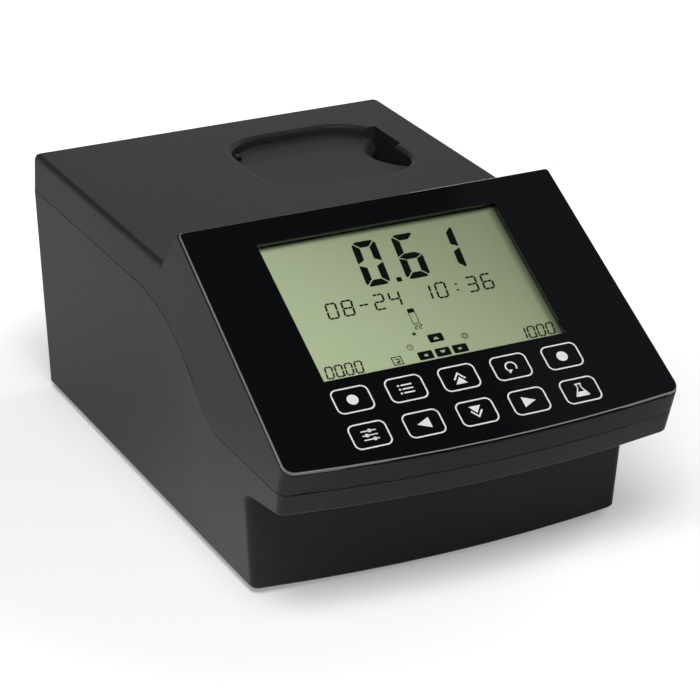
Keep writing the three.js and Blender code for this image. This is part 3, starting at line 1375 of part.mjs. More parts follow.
// Beam splitter, reference detector, sample lens and sample detector
const splitterShape = boxGeometry(
  around(0, SPLITTER.size),
  around(0, SPLITTER.thick),
  around(BENCH.axisZ, SPLITTER.size),
);
place("beam_splitter", splitterShape, "clear", {
  at: [wellAt.x, splitterY, 0],
  turn: [0, 0, Math.PI / 4],
});
const referenceCan = rodGeometry("x", REFERENCE.r, [-REFERENCE.length, 0], { y: 0, z: 0 }, 16);
place("reference_detector", referenceCan, "steel", { at: [referenceX, splitterY, BENCH.axisZ] });
place("sample_lens", lensGeometry(SAMPLE_LENS.r, SAMPLE_LENS.edge, SAMPLE_LENS.crown), "clear", {
  at: [wellAt.x, sampleLensY, BENCH.axisZ],
});
const sampleDetector = union(
  box(around(0, SENSOR.boardWidth), [0, SENSOR.boardThick], [
    BENCH.topZ + GAP,
    BENCH.topZ + GAP + SENSOR.boardHeight,
  ]),
  rod("y", SENSOR.r, [-SENSOR.length, GAP], { x: 0, z: BENCH.axisZ }, 16),
);
place("sample_detector", sampleDetector, "board", { at: [wellAt.x, sensorY, 0] });

// Battery pack and its cover, lamp cover and its screw
const packLow = LEVEL.floorTop;
const packShape = boxGeometry(around(batteryAt.x, BATTERY.width), around(batteryAt.y, BATTERY.depth), [
  packLow,
  packLow + BATTERY.height,
]);
place("battery_pack", packShape, "cell");

function batteryCover() {
  const reach = BATTERY.margin;
  const plateTop = CASE.baseZ + BATTERY.plate;
  const grip = around(batteryAt.y + BATTERY.depth / 2 - reach, reach);
  return union(
    box(around(batteryAt.x, BATTERY.width + 2 * reach), around(batteryAt.y, BATTERY.depth + 2 * reach), [
      CASE.baseZ,
      plateTop,
    ]),
    box(around(batteryAt.x, BATTERY.width), around(batteryAt.y, BATTERY.depth), [
      CASE.baseZ + BATTERY.plate / 2,
      packLow - GAP,
    ]),
  ).subtract(box(around(batteryAt.x, BATTERY.bar * 2), grip, [0, CASE.baseZ + BATTERY.plate / 2]));
}
place("battery_cover", batteryCover(), "shell");

function lampCover() {
  const size = HATCH.size + 2 * HATCH.margin;
  const plateTop = CASE.baseZ + BATTERY.plate;
  let cover = box(around(lampAt.x, size), around(lampAt.y, size), [CASE.baseZ, plateTop]);
  for (let k = 0; k < HATCH.slots; k++) {
    const x = lampAt.x + (k - (HATCH.slots - 1) / 2) * HATCH.slotPitch;
    cover = cover.subtract(box(around(x, HATCH.slotWidth), around(lampAt.y, HATCH.slotLength), [0, plateTop + OVER]));
  }
  const spot = hatchScrewSpot();
  return cut(
    cover,
    rod("z", HATCH_SCREW.shankR + GAP, [0, plateTop + OVER], spot, 10),
    rod("z", HATCH_SCREW.headR + GAP, [0, CASE.baseZ + HATCH_SCREW.headThick + GAP / 2], spot, 14),
  );
}
place("lamp_cover", lampCover(), "shell");
const hatchScrew = union(
  rod("z", HATCH_SCREW.headR, [0, HATCH_SCREW.headThick], pivot, 14),
  rod("z", HATCH_SCREW.shankR, [HATCH_SCREW.headThick / 2, HATCH_SCREW.length], pivot, 10),
);
const hatchSpot = hatchScrewSpot();
place("lamp_cover_screw", hatchScrew, "steel", { at: [hatchSpot.x, hatchSpot.y, CASE.baseZ] });

// Connector bay: a plate behind the rear wall, with the ports and the switch through it
const sockets = [
  { ...INLET, x: inletX },
  { ...USB_A, x: usbAX },
  { ...USB_C, x: usbCX },
];

function rearPlate() {
  const outline = [around(0, BAY.width + 2 * BAY.lip), around(BAY.z, BAY.height + 2 * BAY.lip)];
  let plate = box(outline[0], [bayY - BAY.plate, bayY], outline[1]);
  sockets.forEach(({ x, width, height }) => {
    plate = plate.subtract(
      box(around(x, width + 2 * GAP), around(bayY, 2 * OVER), around(BAY.z, height + 2 * GAP)),
    );
  });
  const rocker = rockerCase();
  return plate.subtract(
    box(
      around(rockerX, rocker.width + 2 * GAP),
      around(bayY, 2 * OVER),
      around(BAY.z, rocker.height + 2 * GAP),
    ),
  );
}

function rockerCase() {
  return {
    width: 2 * (ROCKER.r + GAP + ROCKER.wall),
    height: ROCKER.height + 2 * (GAP + ROCKER.wall),
    low: rockerY - ROCKER.r - GAP - ROCKER.floor,
    high: bayY + ROCKER.bezelThick,
  };
}
place("rear_plate", rearPlate(), "shell");

const portBoard = boxGeometry(portBoardX, around(portBoardY, PORTS.boardThick), [
  PORTS.boardLow,
  PORTS.boardHigh - GAP,
]);
place("port_board", portBoard, "board");

const portFoot = portBoardY + PORTS.boardThick / 2 + GAP;
function powerInlet() {
  const high = bayY + INLET.proud;
  const centre = { x: 0, z: 0 };
  return cut(
    box(around(0, INLET.width), [portFoot, high], around(0, INLET.height)),
    rod("y", INLET.bore, [high - INLET.boreDepth, high + OVER], centre, 20),
  ).add(rod("y", INLET.pinR, [portFoot + GAP, high - INLET.proud], centre, 10));
}
place("power_inlet", powerInlet(), "liner", { at: [inletX, 0, BAY.z] });

[["usb_a_port", USB_A, usbAX], ["usb_c_port", USB_C, usbCX]].forEach(([name, port, x]) => {
  const high = bayY + port.proud;
  const shape = cut(
    box(around(0, port.width), [portFoot, high], around(0, port.height)),
    box(around(0, port.openWidth), [high - port.depth, high + OVER], around(0, port.openHeight)),
  );
  const tongueWidth = port.openWidth - 2 * port.tongue;
  const tongue = box(around(0, tongueWidth), [high - port.depth - GAP, high - port.proud], around(0, port.tongue));
  place(name, shape.add(tongue), "steel", { at: [x, 0, BAY.z] });
});

function rockerHousing() {
  const { width, height, low, high } = rockerCase();
  const bezel = 2 * ROCKER.bezel;
  const hollow = 2 * (ROCKER.r + GAP);
  return union(
    box(around(0, width), [low, high], around(0, height)),
    box(around(0, width + bezel), [bayY + GAP, high], around(0, height + bezel)),
  ).subtract(box(around(0, hollow), [low + ROCKER.floor, high + OVER], around(0, ROCKER.height + 2 * GAP)));
}
place("rocker_housing", rockerHousing(), "liner", { at: [rockerX, 0, BAY.z] });

// Rocker: a drum about its pivot whose front is a shallow V; at rest its right half lies flush
function rockerShape() {
  const { r, centre, throw: tilt, height } = ROCKER;
  const slope = Math.tan(tilt);
  const a = 1 + slope * slope;
  const b = 2 * centre * slope;
  const endX = (-b + Math.sqrt(b * b - 4 * a * (centre * centre - r * r))) / (2 * a);
  const startAngle = Math.atan2(centre + slope * endX, endX);
  const outline = [[0, centre], [-endX, centre + slope * endX]];
  const steps = 12;
  const sweep = Math.PI + 2 * startAngle;
  for (let k = 1; k < steps; k++) {
    const angle = Math.PI - startAngle + (sweep * k) / steps;
    outline.push([r * Math.cos(angle), r * Math.sin(angle)]);
  }
  outline.push([endX, centre + slope * endX]);
  return slabGeometry(outline, around(0, height));
}
place("power_rocker", rockerShape(), "liner", {
  at: [rockerX, rockerY, BAY.z],
  turn: [0, 0, -ROCKER.throw],
});

export default instrument;
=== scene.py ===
"""Looks of a bench photometer: satin black casing, glossy touch panel, segment display and the optics inside.

Lengths are in millimetres and become metres where a mesh is made. X is right, Y is the rear and Z is up.
"""

import json
import math

import bpy
import numpy as np
from mathutils import Matrix, Vector


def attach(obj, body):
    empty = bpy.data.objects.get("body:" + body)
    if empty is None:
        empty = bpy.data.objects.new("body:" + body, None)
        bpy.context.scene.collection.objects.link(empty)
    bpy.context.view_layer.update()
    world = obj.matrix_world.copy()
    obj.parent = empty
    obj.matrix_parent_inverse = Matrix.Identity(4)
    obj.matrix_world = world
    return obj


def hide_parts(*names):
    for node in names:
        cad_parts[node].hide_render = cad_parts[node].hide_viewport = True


MM = 0.001
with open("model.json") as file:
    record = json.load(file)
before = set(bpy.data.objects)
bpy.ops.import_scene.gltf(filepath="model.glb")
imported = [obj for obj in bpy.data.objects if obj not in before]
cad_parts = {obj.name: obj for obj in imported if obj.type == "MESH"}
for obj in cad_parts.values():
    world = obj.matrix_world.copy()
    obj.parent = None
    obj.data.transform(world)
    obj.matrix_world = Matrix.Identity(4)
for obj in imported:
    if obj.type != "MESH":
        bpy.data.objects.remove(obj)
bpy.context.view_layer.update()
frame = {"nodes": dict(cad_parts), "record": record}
nodes = frame["nodes"]

# Camera: azimuth and elevation it looks from, roll, distance, the point it looks at and the lens
AZIMUTH = math.radians(-26.007)
ELEVATION = math.radians(23.713)
ROLL = math.radians(-0.2195)
DISTANCE = 1484.5
TARGET = (8.381, 5.2, 60.0)
LENS = 151.21

# The sloping panel: a point of its lower edge line, its tilt, and the depth of the display below its face
PANEL_Y = -157.5
PANEL_Z = 84.2
TILT = math.radians(29.6)
DISPLAY_DEPTH = 3.9

# The part of the panel inside its cut rim, along its slope and to each side, and the display's lit area
RIM_HALF_WIDTH = 67
RIM_LOW, RIM_HIGH = 40, 133
FILM = {"left": -62, "front": -116, "width": 126, "depth": 74, "right": 61.8, "top": 129.0}
ELECTRODE_PITCH = 0.33


def camera():
    """Looks at TARGET along the given azimuth and elevation, turned by ROLL about its own axis."""
    data = bpy.data.cameras.new("camera")
    data.lens = LENS
    data.sensor_width = 36
    data.clip_start, data.clip_end = 0.05, 30
    seen = bpy.data.objects.new("camera", data)
    bpy.context.scene.collection.objects.link(seen)
    back = Vector(
        (
            math.sin(AZIMUTH) * math.cos(ELEVATION),
            -math.cos(AZIMUTH) * math.cos(ELEVATION),
            math.sin(ELEVATION),
        )
    )
    flat = Vector((math.cos(AZIMUTH), math.sin(AZIMUTH), 0))
    over = back.cross(flat)
    right = flat * math.cos(ROLL) + over * math.sin(ROLL)
    up = over * math.cos(ROLL) - flat * math.sin(ROLL)
    turn = Matrix((right, up, back)).transposed().to_4x4()
    place = (Vector(TARGET) + back * DISTANCE) * MM
    seen.matrix_world = Matrix.Translation(place) @ turn
    bpy.context.scene.camera = seen


camera()


# ---------------------------------------------------------------- shader maths


class Value:
    """One number or colour that varies over a surface. The operators add Math nodes to the same material."""

    def __init__(self, tree, socket):
        self.tree = tree
        self.socket = socket

    def math(self, operation, *others):
        """A Math node with this operation, fed with numbers or Values."""
        node = self.tree.nodes.new("ShaderNodeMath")
        node.operation = operation
        for place, value in zip(node.inputs, others):
            feed(self.tree, place, value)
        return Value(self.tree, node.outputs[0])

    def __add__(self, other):
        return self.math("ADD", self, other)

    def __radd__(self, other):
        return self.math("ADD", other, self)

    def __sub__(self, other):
        return self.math("SUBTRACT", self, other)

    def __rsub__(self, other):
        return self.math("SUBTRACT", other, self)

    def __mul__(self, other):
        return self.math("MULTIPLY", self, other)

    def __rmul__(self, other):
        return self.math("MULTIPLY", other, self)

    def __truediv__(self, other):
        return self.math("DIVIDE", self, other)

    def __rtruediv__(self, other):
        return self.math("DIVIDE", other, self)

    def __pow__(self, other):
        return self.math("POWER", self, other)

    def __abs__(self):
        return self.math("ABSOLUTE", self)

    def sine(self):
        return self.math("SINE", self)

    def least(self, other):
        return self.math("MINIMUM", self, other)

    def most(self, other):
        return self.math("MAXIMUM", self, other)

    def rise(self, low, high):
        """0 below low, 1 above high and smooth between; high may be the lower one."""
        node = self.tree.nodes.new("ShaderNodeMapRange")
        node.interpolation_type = "SMOOTHSTEP"
        feed(self.tree, node.inputs["Value"], self)
        node.inputs["From Min"].default_value = low
        node.inputs["From Max"].default_value = high
        return Value(self.tree, node.outputs[0])


def feed(tree, place, value):
    """Puts a number, a colour or a Value into a socket."""
    if isinstance(value, Value):
        tree.links.new(value.socket, place)
    else:
        place.default_value = value


class Finish:
    """One material. add() makes any node: its settings are set before its sockets are fed."""

    def __init__(self, name, owner=None):
        self.material = owner or bpy.data.materials.new(name)
        self.material.use_nodes = True
        self.tree = self.material.node_tree
        self.tree.nodes.clear()

    def add(self, kind, settings=None, sockets=None, out=0):
        """Any shader node; returns its output number out."""
        node = self.tree.nodes.new("ShaderNode" + kind)
        for key, value in (settings or {}).items():
            if key == "stops":
                ramp = node.color_ramp
                while len(ramp.elements) < len(value):
                    ramp.elements.new(0.5)
                for element, (at, colour) in zip(ramp.elements, value):
                    element.position, element.color = at, colour
            else:
                setattr(node, key, value)
        for key, value in (sockets or {}).items():
            feed(self.tree, node.inputs[key], value)
        return Value(self.tree, node.outputs[out]) if len(node.outputs) else None

    def place(self):
        """The piece's own Object coordinates."""
        return self.add("TexCoord", out=3)

    def axes(self, vector=None):
        """x, y and z of a vector, in metres, as three Values."""
        split = self.tree.nodes.new("ShaderNodeSeparateXYZ")
        feed(self.tree, split.inputs[0], vector or self.place())
        return [Value(self.tree, o) for o in split.outputs]

    def stretch(self, scale, turn=(0, 0, 0), vector=None):
        """The object's coordinates turned and scaled per axis."""
        return self.add(
            "Mapping",
            {"vector_type": "POINT"},
            {"Vector": vector or self.place(), "Rotation": turn, "Scale": scale},
        )

    def noise(self, scale, detail=2.0, rough=0.5, vector=None):
        """Soft random value about 0.5, with scale bumps to the metre."""
        return self.add(
            "TexNoise",
            {"noise_dimensions": "3D"},
            {
                "Vector": vector or self.place(),
                "Scale": scale,
                "Detail": detail,
                "Roughness": rough,
            },
        )

    def cells(self, scale, feature="F1", vector=None):
        """Distance to the nearest of random points, scale of them to the metre."""
        return self.add(
            "TexVoronoi",
            {"feature": feature},
            {"Vector": vector or self.place(), "Scale": scale},
        )

    def mix(self, share, low, high):
        """low where share is 0 and high where it is 1, as colours."""
        return self.add(
            "Mix", {"data_type": "RGBA"}, {0: share, 6: low, 7: high}, out=2
        )

    def bump(self, height, depth, strength=1.0, normal=None):
        """Normal of a surface raised by height times depth metres."""
        sockets = {"Height": height, "Distance": depth, "Strength": strength}
        if normal is not None:
            sockets["Normal"] = normal
        return self.add("Bump", None, sockets)

    def surface(self, **sockets):
        """Ends the material in a Principled shader; underscores in socket names stand for spaces."""
        named = {key.replace("_", " "): value for key, value in sockets.items()}
        shader = self.add("BsdfPrincipled", None, named)
        self.end(shader)
        return self.material

    def end(self, shader):
        """Ends the material in any shader."""
        self.add("OutputMaterial", None, {"Surface": shader})


def tone(red, green, blue):
    """A colour given in display steps of 0 to 255, as linear light."""
    steps = np.array((red, green, blue)) / 255
    linear = np.where(steps <= 0.04045, steps / 12.92, ((steps + 0.055) / 1.055) ** 2.4)
    return (*linear.tolist(), 1.0)


def shade(colour, times):
    """The same hue, times as bright, and never above white."""
    return (*(min(1.0, part * times) for part in colour[:3]), 1.0)


def wave(axis, pitch):
    """-1 to 1 along an axis in metres, one full wave every pitch millimetres."""
    return (axis * (2 * math.pi / (pitch * MM))).sine()


# ---------------------------------------------------------------- materials


def moulded(name, base, rough, grain=0.35, depth=0.01, tint=0.05, gloss=0.09):
    """Moulded plastic: a fine spark-eroded grain, very faint flow clouds and a few specks of dust."""
    f = Finish(name)
    fine = f.noise(1000 / grain, 2.0, 0.6)
    flow = f.noise(9, 2.0)
    specks = (1 - f.cells(420)).rise(0.955, 0.99) * f.noise(30).rise(0.55, 0.7)
    colour = f.mix(flow.rise(0.3, 0.7), shade(base, 1 - tint), shade(base, 1 + tint))
    colour = f.mix(specks * 0.2, colour, tone(110, 108, 104))
    return f.surface(
        Base_Color=colour,
        Roughness=rough + (flow - 0.5) * 0.03 + (fine - 0.5) * 0.06,
        Specular_IOR_Level=gloss,
        Normal=f.bump(fine, depth * MM),
    )


def panel_axes(f):
    """Across the panel, along its slope and down from its face, in mm: the inverse of on_panel."""
    x, y, z = (axis / MM for axis in f.axes())
    ahead, up = y - PANEL_Y, z - PANEL_Z
    along = ahead * math.cos(TILT) + up * math.sin(TILT)
    return x, along, ahead * math.sin(TILT) - up * math.cos(TILT)


def gloss_panel():
    """Hard gloss over black: a faint ripple, hairline scratches, finger smudges and a cut rim painted pale as its
    highlight.
    """
    f = Finish("panel_gloss")
    x, along, down = panel_axes(f)
    past_low = RIM_HALF_WIDTH + RIM_LOW - along
    past_high = along - (RIM_HIGH - RIM_HALF_WIDTH)
    outside = abs(x).most(past_low).most(past_high).rise(RIM_HALF_WIDTH, RIM_HALF_WIDTH + 0.5)
    # Painted highlight: the chamfered rim outside the printed area is painted pale for the light it catches.
    painted_rim_highlight = outside * down.rise(0.03, 0.1) * (1 - down.rise(0.4, 0.55))
    ripple = f.noise(35, 1.0)
    smudge = f.noise(22, 4.0, 0.6).rise(0.5, 0.75) * f.noise(180, 3.0, 0.7).rise(0.4, 0.7)
    hair = f.noise(900, 1.0, 0.5, f.stretch((1, 0.02, 0.02), (0, 0, 0.35))).rise(0.68, 0.74)
    colour = f.mix(f.noise(9, 2.0), tone(9, 10, 12), tone(12, 13, 15))
    colour = f.mix(painted_rim_highlight, colour, tone(124, 126, 130))
    return f.surface(
        Base_Color=colour,
        Roughness=0.07 + smudge * 0.05 + hair * 0.04,
        Specular_IOR_Level=0.5,
        Coat_Weight=0.25,
        Coat_Roughness=0.05,
        Normal=f.bump(ripple, 0.004 * MM),
    )


def window_glass():
    """Thin clear window: light passes straight through, and it shines by the angle it is seen at."""
    f = Finish("clear_glass")
    fresnel = f.add("Fresnel", None, {"IOR": 1.45}) * (1 - f.add("NewGeometry", out=6))
    dust = (1 - f.cells(500)).rise(0.94, 0.99) * 0.12
    clear = f.add("BsdfTransparent", None, {"Color": (0.97, 0.98, 0.97, 1)})
    shine = f.add(
        "BsdfPrincipled",
        None,
        {"Base Color": tone(24, 26, 26), "Roughness": 0.06 + dust * 0.3},
    )
    f.end(f.add("MixShader", None, {0: (fresnel + dust).least(1.0), 1: clear, 2: shine}))
    return f.material


def lens_glass():
    """Ground optical glass with a faint bluish coating."""
    f = Finish("lens_glass")
    haze = f.noise(90, 2.0).rise(0.45, 0.8)
    return f.surface(
        Base_Color=f.mix(haze, tone(236, 244, 250), tone(214, 232, 246)),
        Roughness=0.03 + haze * 0.03,
        IOR=1.52,
        Transmission_Weight=1.0,
        Coat_Weight=0.6,
        Coat_Tint=(0.6, 0.5, 1.0, 1),
    )


def tinted_glass(name, dark, pale):
    """Coloured filter glass, a little streaked."""
    f = Finish(name)
    streak = f.noise(120, 2.0, 0.5, f.stretch((1, 1, 0.2)))
    return f.surface(
        Base_Color=f.mix(streak, dark, pale),
        Roughness=0.04 + streak * 0.02,
        IOR=1.52,
        Transmission_Weight=1.0,
    )


def display_film():
    """Reflective liquid crystal film: yellow green with painted light that is paler low on the left, a fine weave, and
    painted shade from the opening's frame along its right and top edges.
    """
    f = Finish("display_film")
    x, y, _ = f.axes()
    across = (x / MM - FILM["left"]) / FILM["width"]
    along = (y / MM - FILM["front"]) / FILM["depth"]
    # Painted light: the film is paler towards the lower left and darker towards the upper right, as the light falls
    # across it.
    painted_light_falloff = (across * 0.62 + along * 0.38).rise(0.0, 1.0)
    grid = (wave(x, ELECTRODE_PITCH) * wave(y, ELECTRODE_PITCH)).rise(0.6, 1.0)
    cloud = f.noise(26, 2.0)
    colour = f.mix(painted_light_falloff, tone(197, 208, 170), tone(146, 154, 123))
    colour = f.mix(cloud * 0.10, colour, tone(150, 170, 130))
    colour = f.mix(grid * 0.05, colour, tone(120, 130, 100))
    right, rise, _ = panel_axes(f)
    # Painted shadow: a darker band along the film's right and top edges stands for the shade cast by the opening's
    # frame.
    edge = right.rise(FILM["right"] - 4.8, FILM["right"]).most(rise.rise(FILM["top"] - 2.8, FILM["top"]))
    colour = f.mix(edge * 0.7, colour, tone(50, 54, 46))
    return f.surface(
        Base_Color=colour,
        Roughness=0.42 + cloud * 0.06,
        Normal=f.bump(f.noise(2600, 1.0), 0.004 * MM),
    )


def light_guide():
    """Frosted acrylic sheet with a grid of printed dots that spread the light."""
    f = Finish("light_guide")
    dots = (1 - f.cells(900)).rise(0.62, 0.72)
    return f.surface(
        Base_Color=f.mix(dots, tone(226, 232, 222), tone(246, 250, 242)),
        Roughness=0.35 + dots * 0.2,
        Normal=f.bump(dots, 0.02 * MM),
    )


def circuit_board():
    """Green solder mask over copper: straight tracks, round pads with tin, and the weave of the glass below."""
    f = Finish("circuit_board")
    x, y, z = f.axes()
    along = y * math.cos(TILT) + z * math.sin(TILT)
    rows = (x * (2 * math.pi / (2.6 * MM)) + (f.noise(60, 0.0) - 0.5) * 7).sine()
    columns = (along * (2 * math.pi / (3.4 * MM)) + (f.noise(45, 0.0) - 0.5) * 6).sine()
    zone = f.noise(70, 0.0).rise(0.49, 0.51)
    track = rows.rise(0.72, 0.8) * zone + columns.rise(0.72, 0.8) * (1 - zone)
    pads = (1 - f.cells(190)).rise(0.80, 0.84) * f.noise(40, 0.0).rise(0.5, 0.52)
    weave = wave(x, 0.5) * wave(along, 0.5)
    colour = f.mix(track, tone(20, 74, 40), tone(42, 112, 58))
    colour = f.mix(pads, colour, tone(196, 192, 180))
    return f.surface(
        Base_Color=colour,
        Metallic=pads * 0.9,
        Roughness=0.34 + (1 - pads) * 0.08,
        Normal=f.bump(track * 0.6 + pads + weave * 0.05, 0.03 * MM),
    )


def rubber(name, base):
    """Soft rubber: dull, mottled, with a bloom of dust where it touches the bench."""
    f = Finish(name)
    grain = f.noise(2400, 3.0, 0.7)
    bloom = f.noise(160, 3.0).rise(0.45, 0.75)
    _, _, z = f.axes()
    low = z.rise(0.002, 0.0)
    return f.surface(
        Base_Color=f.mix(bloom * 0.35 + low * 0.3, base, shade(base, 2.2)),
        Roughness=0.78 + bloom * 0.1,
        Specular_IOR_Level=0.35,
        Normal=f.bump(grain, 0.03 * MM),
    )


def foam(name, base):
    """Open foam: round pores of two sizes, with painted shade in their hollows."""
    f = Finish(name)
    pores = f.cells(1400).rise(0.15, 0.6)
    small = f.cells(3600).rise(0.1, 0.6)
    depth = pores * 0.7 + small * 0.3
    return f.surface(
        # Painted shade: the colour darkens to about a third in the pores' hollows.
        Base_Color=f.mix(depth, shade(base, 0.35), base),
        Roughness=0.92,
        Specular_IOR_Level=0.2,
        Normal=f.bump(depth, 0.25 * MM),
    )


def machined(name, base, rough, lines=(3, 900, 900), turn=(0, 0, 0), stain=0.15, metal=1.0):
    """Cut metal: fine tool lines along one axis, cloudy handling stains and small nicks."""
    f = Finish(name)
    cut = f.noise(1.0, 3.0, 0.7, f.stretch(lines, turn))
    cloud = f.noise(70, 3.0).rise(0.35, 0.75)
    nick = (1 - f.cells(260)).rise(0.9, 0.96) * f.noise(50).rise(0.55, 0.7)
    colour = f.mix(cloud, base, shade(base, 1 - stain))
    colour = f.mix(nick * 0.5, colour, shade(base, 1.3))
    return f.surface(
        Base_Color=colour,
        Metallic=metal,
        Roughness=rough + (cut - 0.5) * 0.16 + cloud * 0.06,
        Normal=f.bump(cut, 0.01 * MM),
    )


def anodised(name, base):
    """Black anodised alloy: dark matt skin with a bead-blasted grain, worn to metal in small spots."""
    f = Finish(name)
    grain = f.noise(2600, 2.0, 0.6)
    cloud = f.noise(48, 3.0).rise(0.3, 0.8)
    worn = (1 - f.cells(300)).rise(0.92, 0.97) * f.noise(45).rise(0.58, 0.7)
    return f.surface(
        Base_Color=f.mix(worn, f.mix(cloud, base, shade(base, 1.5)), tone(150, 150, 152)),
        Metallic=0.35 + worn * 0.6,
        Roughness=0.52 + (grain - 0.5) * 0.1,
        Normal=f.bump(grain, 0.02 * MM),
    )


def mirror_glass():
    """Front-coated mirror: bright metal with a trace of dust."""
    f = Finish("mirror_glass")
    dust = (1 - f.cells(700)).rise(0.93, 0.99)
    veil = f.noise(60, 3.0).rise(0.4, 0.9)
    return f.surface(
        Base_Color=f.mix(dust * 0.5, tone(232, 234, 236), tone(190, 188, 180)),
        Metallic=1.0,
        Roughness=0.03 + veil * 0.03 + dust * 0.3,
    )


def ruled_grating():
    """Ruled gold-toned grating: upright lines too fine to count, with the spectrum it diffracts painted across them as
    colour bands.
    """
    f = Finish("ruled_grating")
    x, y, z = f.axes()
    across = (x / MM + 26.2) / 22
    # Painted reflection: the diffracted spectrum, painted into the colour as fixed bands across the grating.
    painted_spectrum = f.add(
        "ValToRGB",
        {
            "stops": [
                (0.0, tone(120, 90, 190)),
                (0.25, tone(70, 150, 210)),
                (0.45, tone(110, 200, 130)),
                (0.65, tone(225, 205, 90)),
                (0.82, tone(225, 130, 80)),
                (1.0, tone(190, 80, 110)),
            ]
        },
        {0: across},
    )
    lines = wave(x, 0.25)
    front = y.rise(0.0203, 0.0201)
    colour = f.mix(0.45, tone(222, 206, 170), painted_spectrum)
    return f.surface(
        Base_Color=f.mix(front, tone(180, 190, 190), colour),
        Metallic=0.2 + front * 0.8,
        Roughness=0.12 + lines * 0.03 + f.noise(200).rise(0.5, 0.8) * 0.05,
        Normal=f.bump(lines, 0.006 * MM),
    )


def ceramic():
    """Glazeless white ceramic, slightly granular with brown heat marks near the lamp."""
    f = Finish("holder_white")
    grain = f.noise(1500, 3.0, 0.7)
    heat = f.noise(120, 3.0).rise(0.5, 0.8)
    return f.surface(
        Base_Color=f.mix(heat * 0.5, tone(232, 228, 216), tone(206, 190, 160)),
        Roughness=0.6 + (grain - 0.5) * 0.1,
        Normal=f.bump(grain, 0.02 * MM),
    )


def cell_wrap():
    """Shrink film over a row of round cells: wrinkles across, painted paler where they rise as a sheen on them."""
    f = Finish("cell_wrap")
    _, y, _ = f.axes()
    ridge = wave(y, 17)
    wrinkle = f.noise(1.0, 3.0, 0.6, f.stretch((60, 500, 60)))
    return f.surface(
        # Painted sheen: the raised wrinkles are painted paler.
        Base_Color=f.mix(wrinkle, tone(18, 62, 110), tone(34, 92, 150)),
        Roughness=0.25 + wrinkle * 0.15,
        Normal=f.bump(ridge * 1.5 + wrinkle * 0.5, 0.4 * MM),
    )


def ribbon_jacket():
    """Flat ribbon of parallel grey wires with one red edge wire, and painted shade in the grooves between the wires.
    """
    f = Finish("ribbon_jacket")
    x, _, _ = f.axes()
    wires = wave(x, 1.27)
    edge = x.rise(-0.0485, -0.0487)
    # Painted shade: the grooves between wires, where the bump sinks, are painted darker.
    colour = f.mix(wires.rise(-0.9, -0.4), tone(96, 98, 102), tone(150, 152, 156))
    return f.surface(
        Base_Color=f.mix(edge, colour, tone(170, 40, 34)),
        Roughness=0.45 + f.noise(300).rise(0.4, 0.8) * 0.1,
        Normal=f.bump(wires, 0.3 * MM),
    )


def ink(name, base, rough, gloss=0.5):
    """Screen-printed ink: a fine mesh mark and slightly uneven cover."""
    f = Finish(name)
    cover = f.noise(900, 2.0, 0.6)
    edge = f.noise(4000, 1.0)
    return f.surface(
        Base_Color=f.mix(cover.rise(0.3, 0.7), shade(base, 0.86), base),
        Roughness=rough + (edge - 0.5) * 0.08,
        Specular_IOR_Level=gloss,
        Normal=f.bump(edge, 0.004 * MM),
    )


SHELL = tone(41, 42, 43)
FINISHES = {
    "casing_plastic": moulded("casing_plastic", SHELL, 0.47),
    "panel_gloss": gloss_panel(),
    "clear_glass": window_glass(),
    "display_film": display_film(),
    "light_guide": light_guide(),
    "circuit_board": circuit_board(),
    "liner_plastic": moulded("liner_plastic", tone(22, 22, 23), 0.6, 0.5, 0.02),
    "foot_rubber": rubber("foot_rubber", tone(24, 24, 25)),
    "seal_foam": foam("seal_foam", tone(34, 34, 36)),
    "steel": machined("steel", tone(176, 176, 174), 0.3),
    "bench_alloy": machined("bench_alloy", tone(196, 198, 200), 0.4, (60, 60, 900)),
    "black_alloy": anodised("black_alloy", tone(26, 26, 28)),
    "gear_brass": machined("gear_brass", tone(206, 170, 92), 0.28, (900, 900, 30), stain=0.3),
    "mirror_glass": mirror_glass(),
    "holder_white": ceramic(),
    "cell_wrap": cell_wrap(),
    "ribbon_jacket": ribbon_jacket(),
    "white_ink": ink("white_ink", tone(240, 240, 238), 0.45),
    "segment_black": ink("segment_black", tone(9, 10, 9), 0.5, 0.08),
}
OWN_FINISH = {
    "condenser_lens": lens_glass(),
    "lid_pin_front": machined("black_steel", tone(44, 44, 46), 0.4),
    "diffraction_grating": ruled_grating(),
    "filter_glass_1": tinted_glass("filter_blue", tone(60, 96, 190), tone(90, 130, 220)),
    "filter_glass_2": tinted_glass("filter_green", tone(60, 150, 90), tone(100, 190, 120)),
    "filter_glass_3": tinted_glass("filter_red", tone(180, 50, 40), tone(220, 84, 60)),
}
OWN_FINISH["sample_lens"] = OWN_FINISH["condenser_lens"]
OWN_FINISH["lid_pin_rear"] = OWN_FINISH["lid_pin_front"]


# Nodes that get a smooth copy, and how far in degrees two faces may lean and still shade as one
ROUND = (
    "top_shell",
    "bottom_shell",
    "lid",
    "display_panel",
    "foot_front_left",
    "foot_front_right",
    "foot_rear_left",
    "foot_rear_right",
    "vial_adapter",
    "lid_pin_front",
    "lid_pin_rear",
    "lid_magnet",
    "halogen_lamp",
    "condenser_lens",
    "sample_lens",
    "collimating_mirror",
    "focusing_mirror",
    "filter_wheel",
    "grating_table",
    "power_rocker",
    "ribbon_cable",
)
SMOOTH_LIMIT = 50
CRISP = {"display_panel": 30}


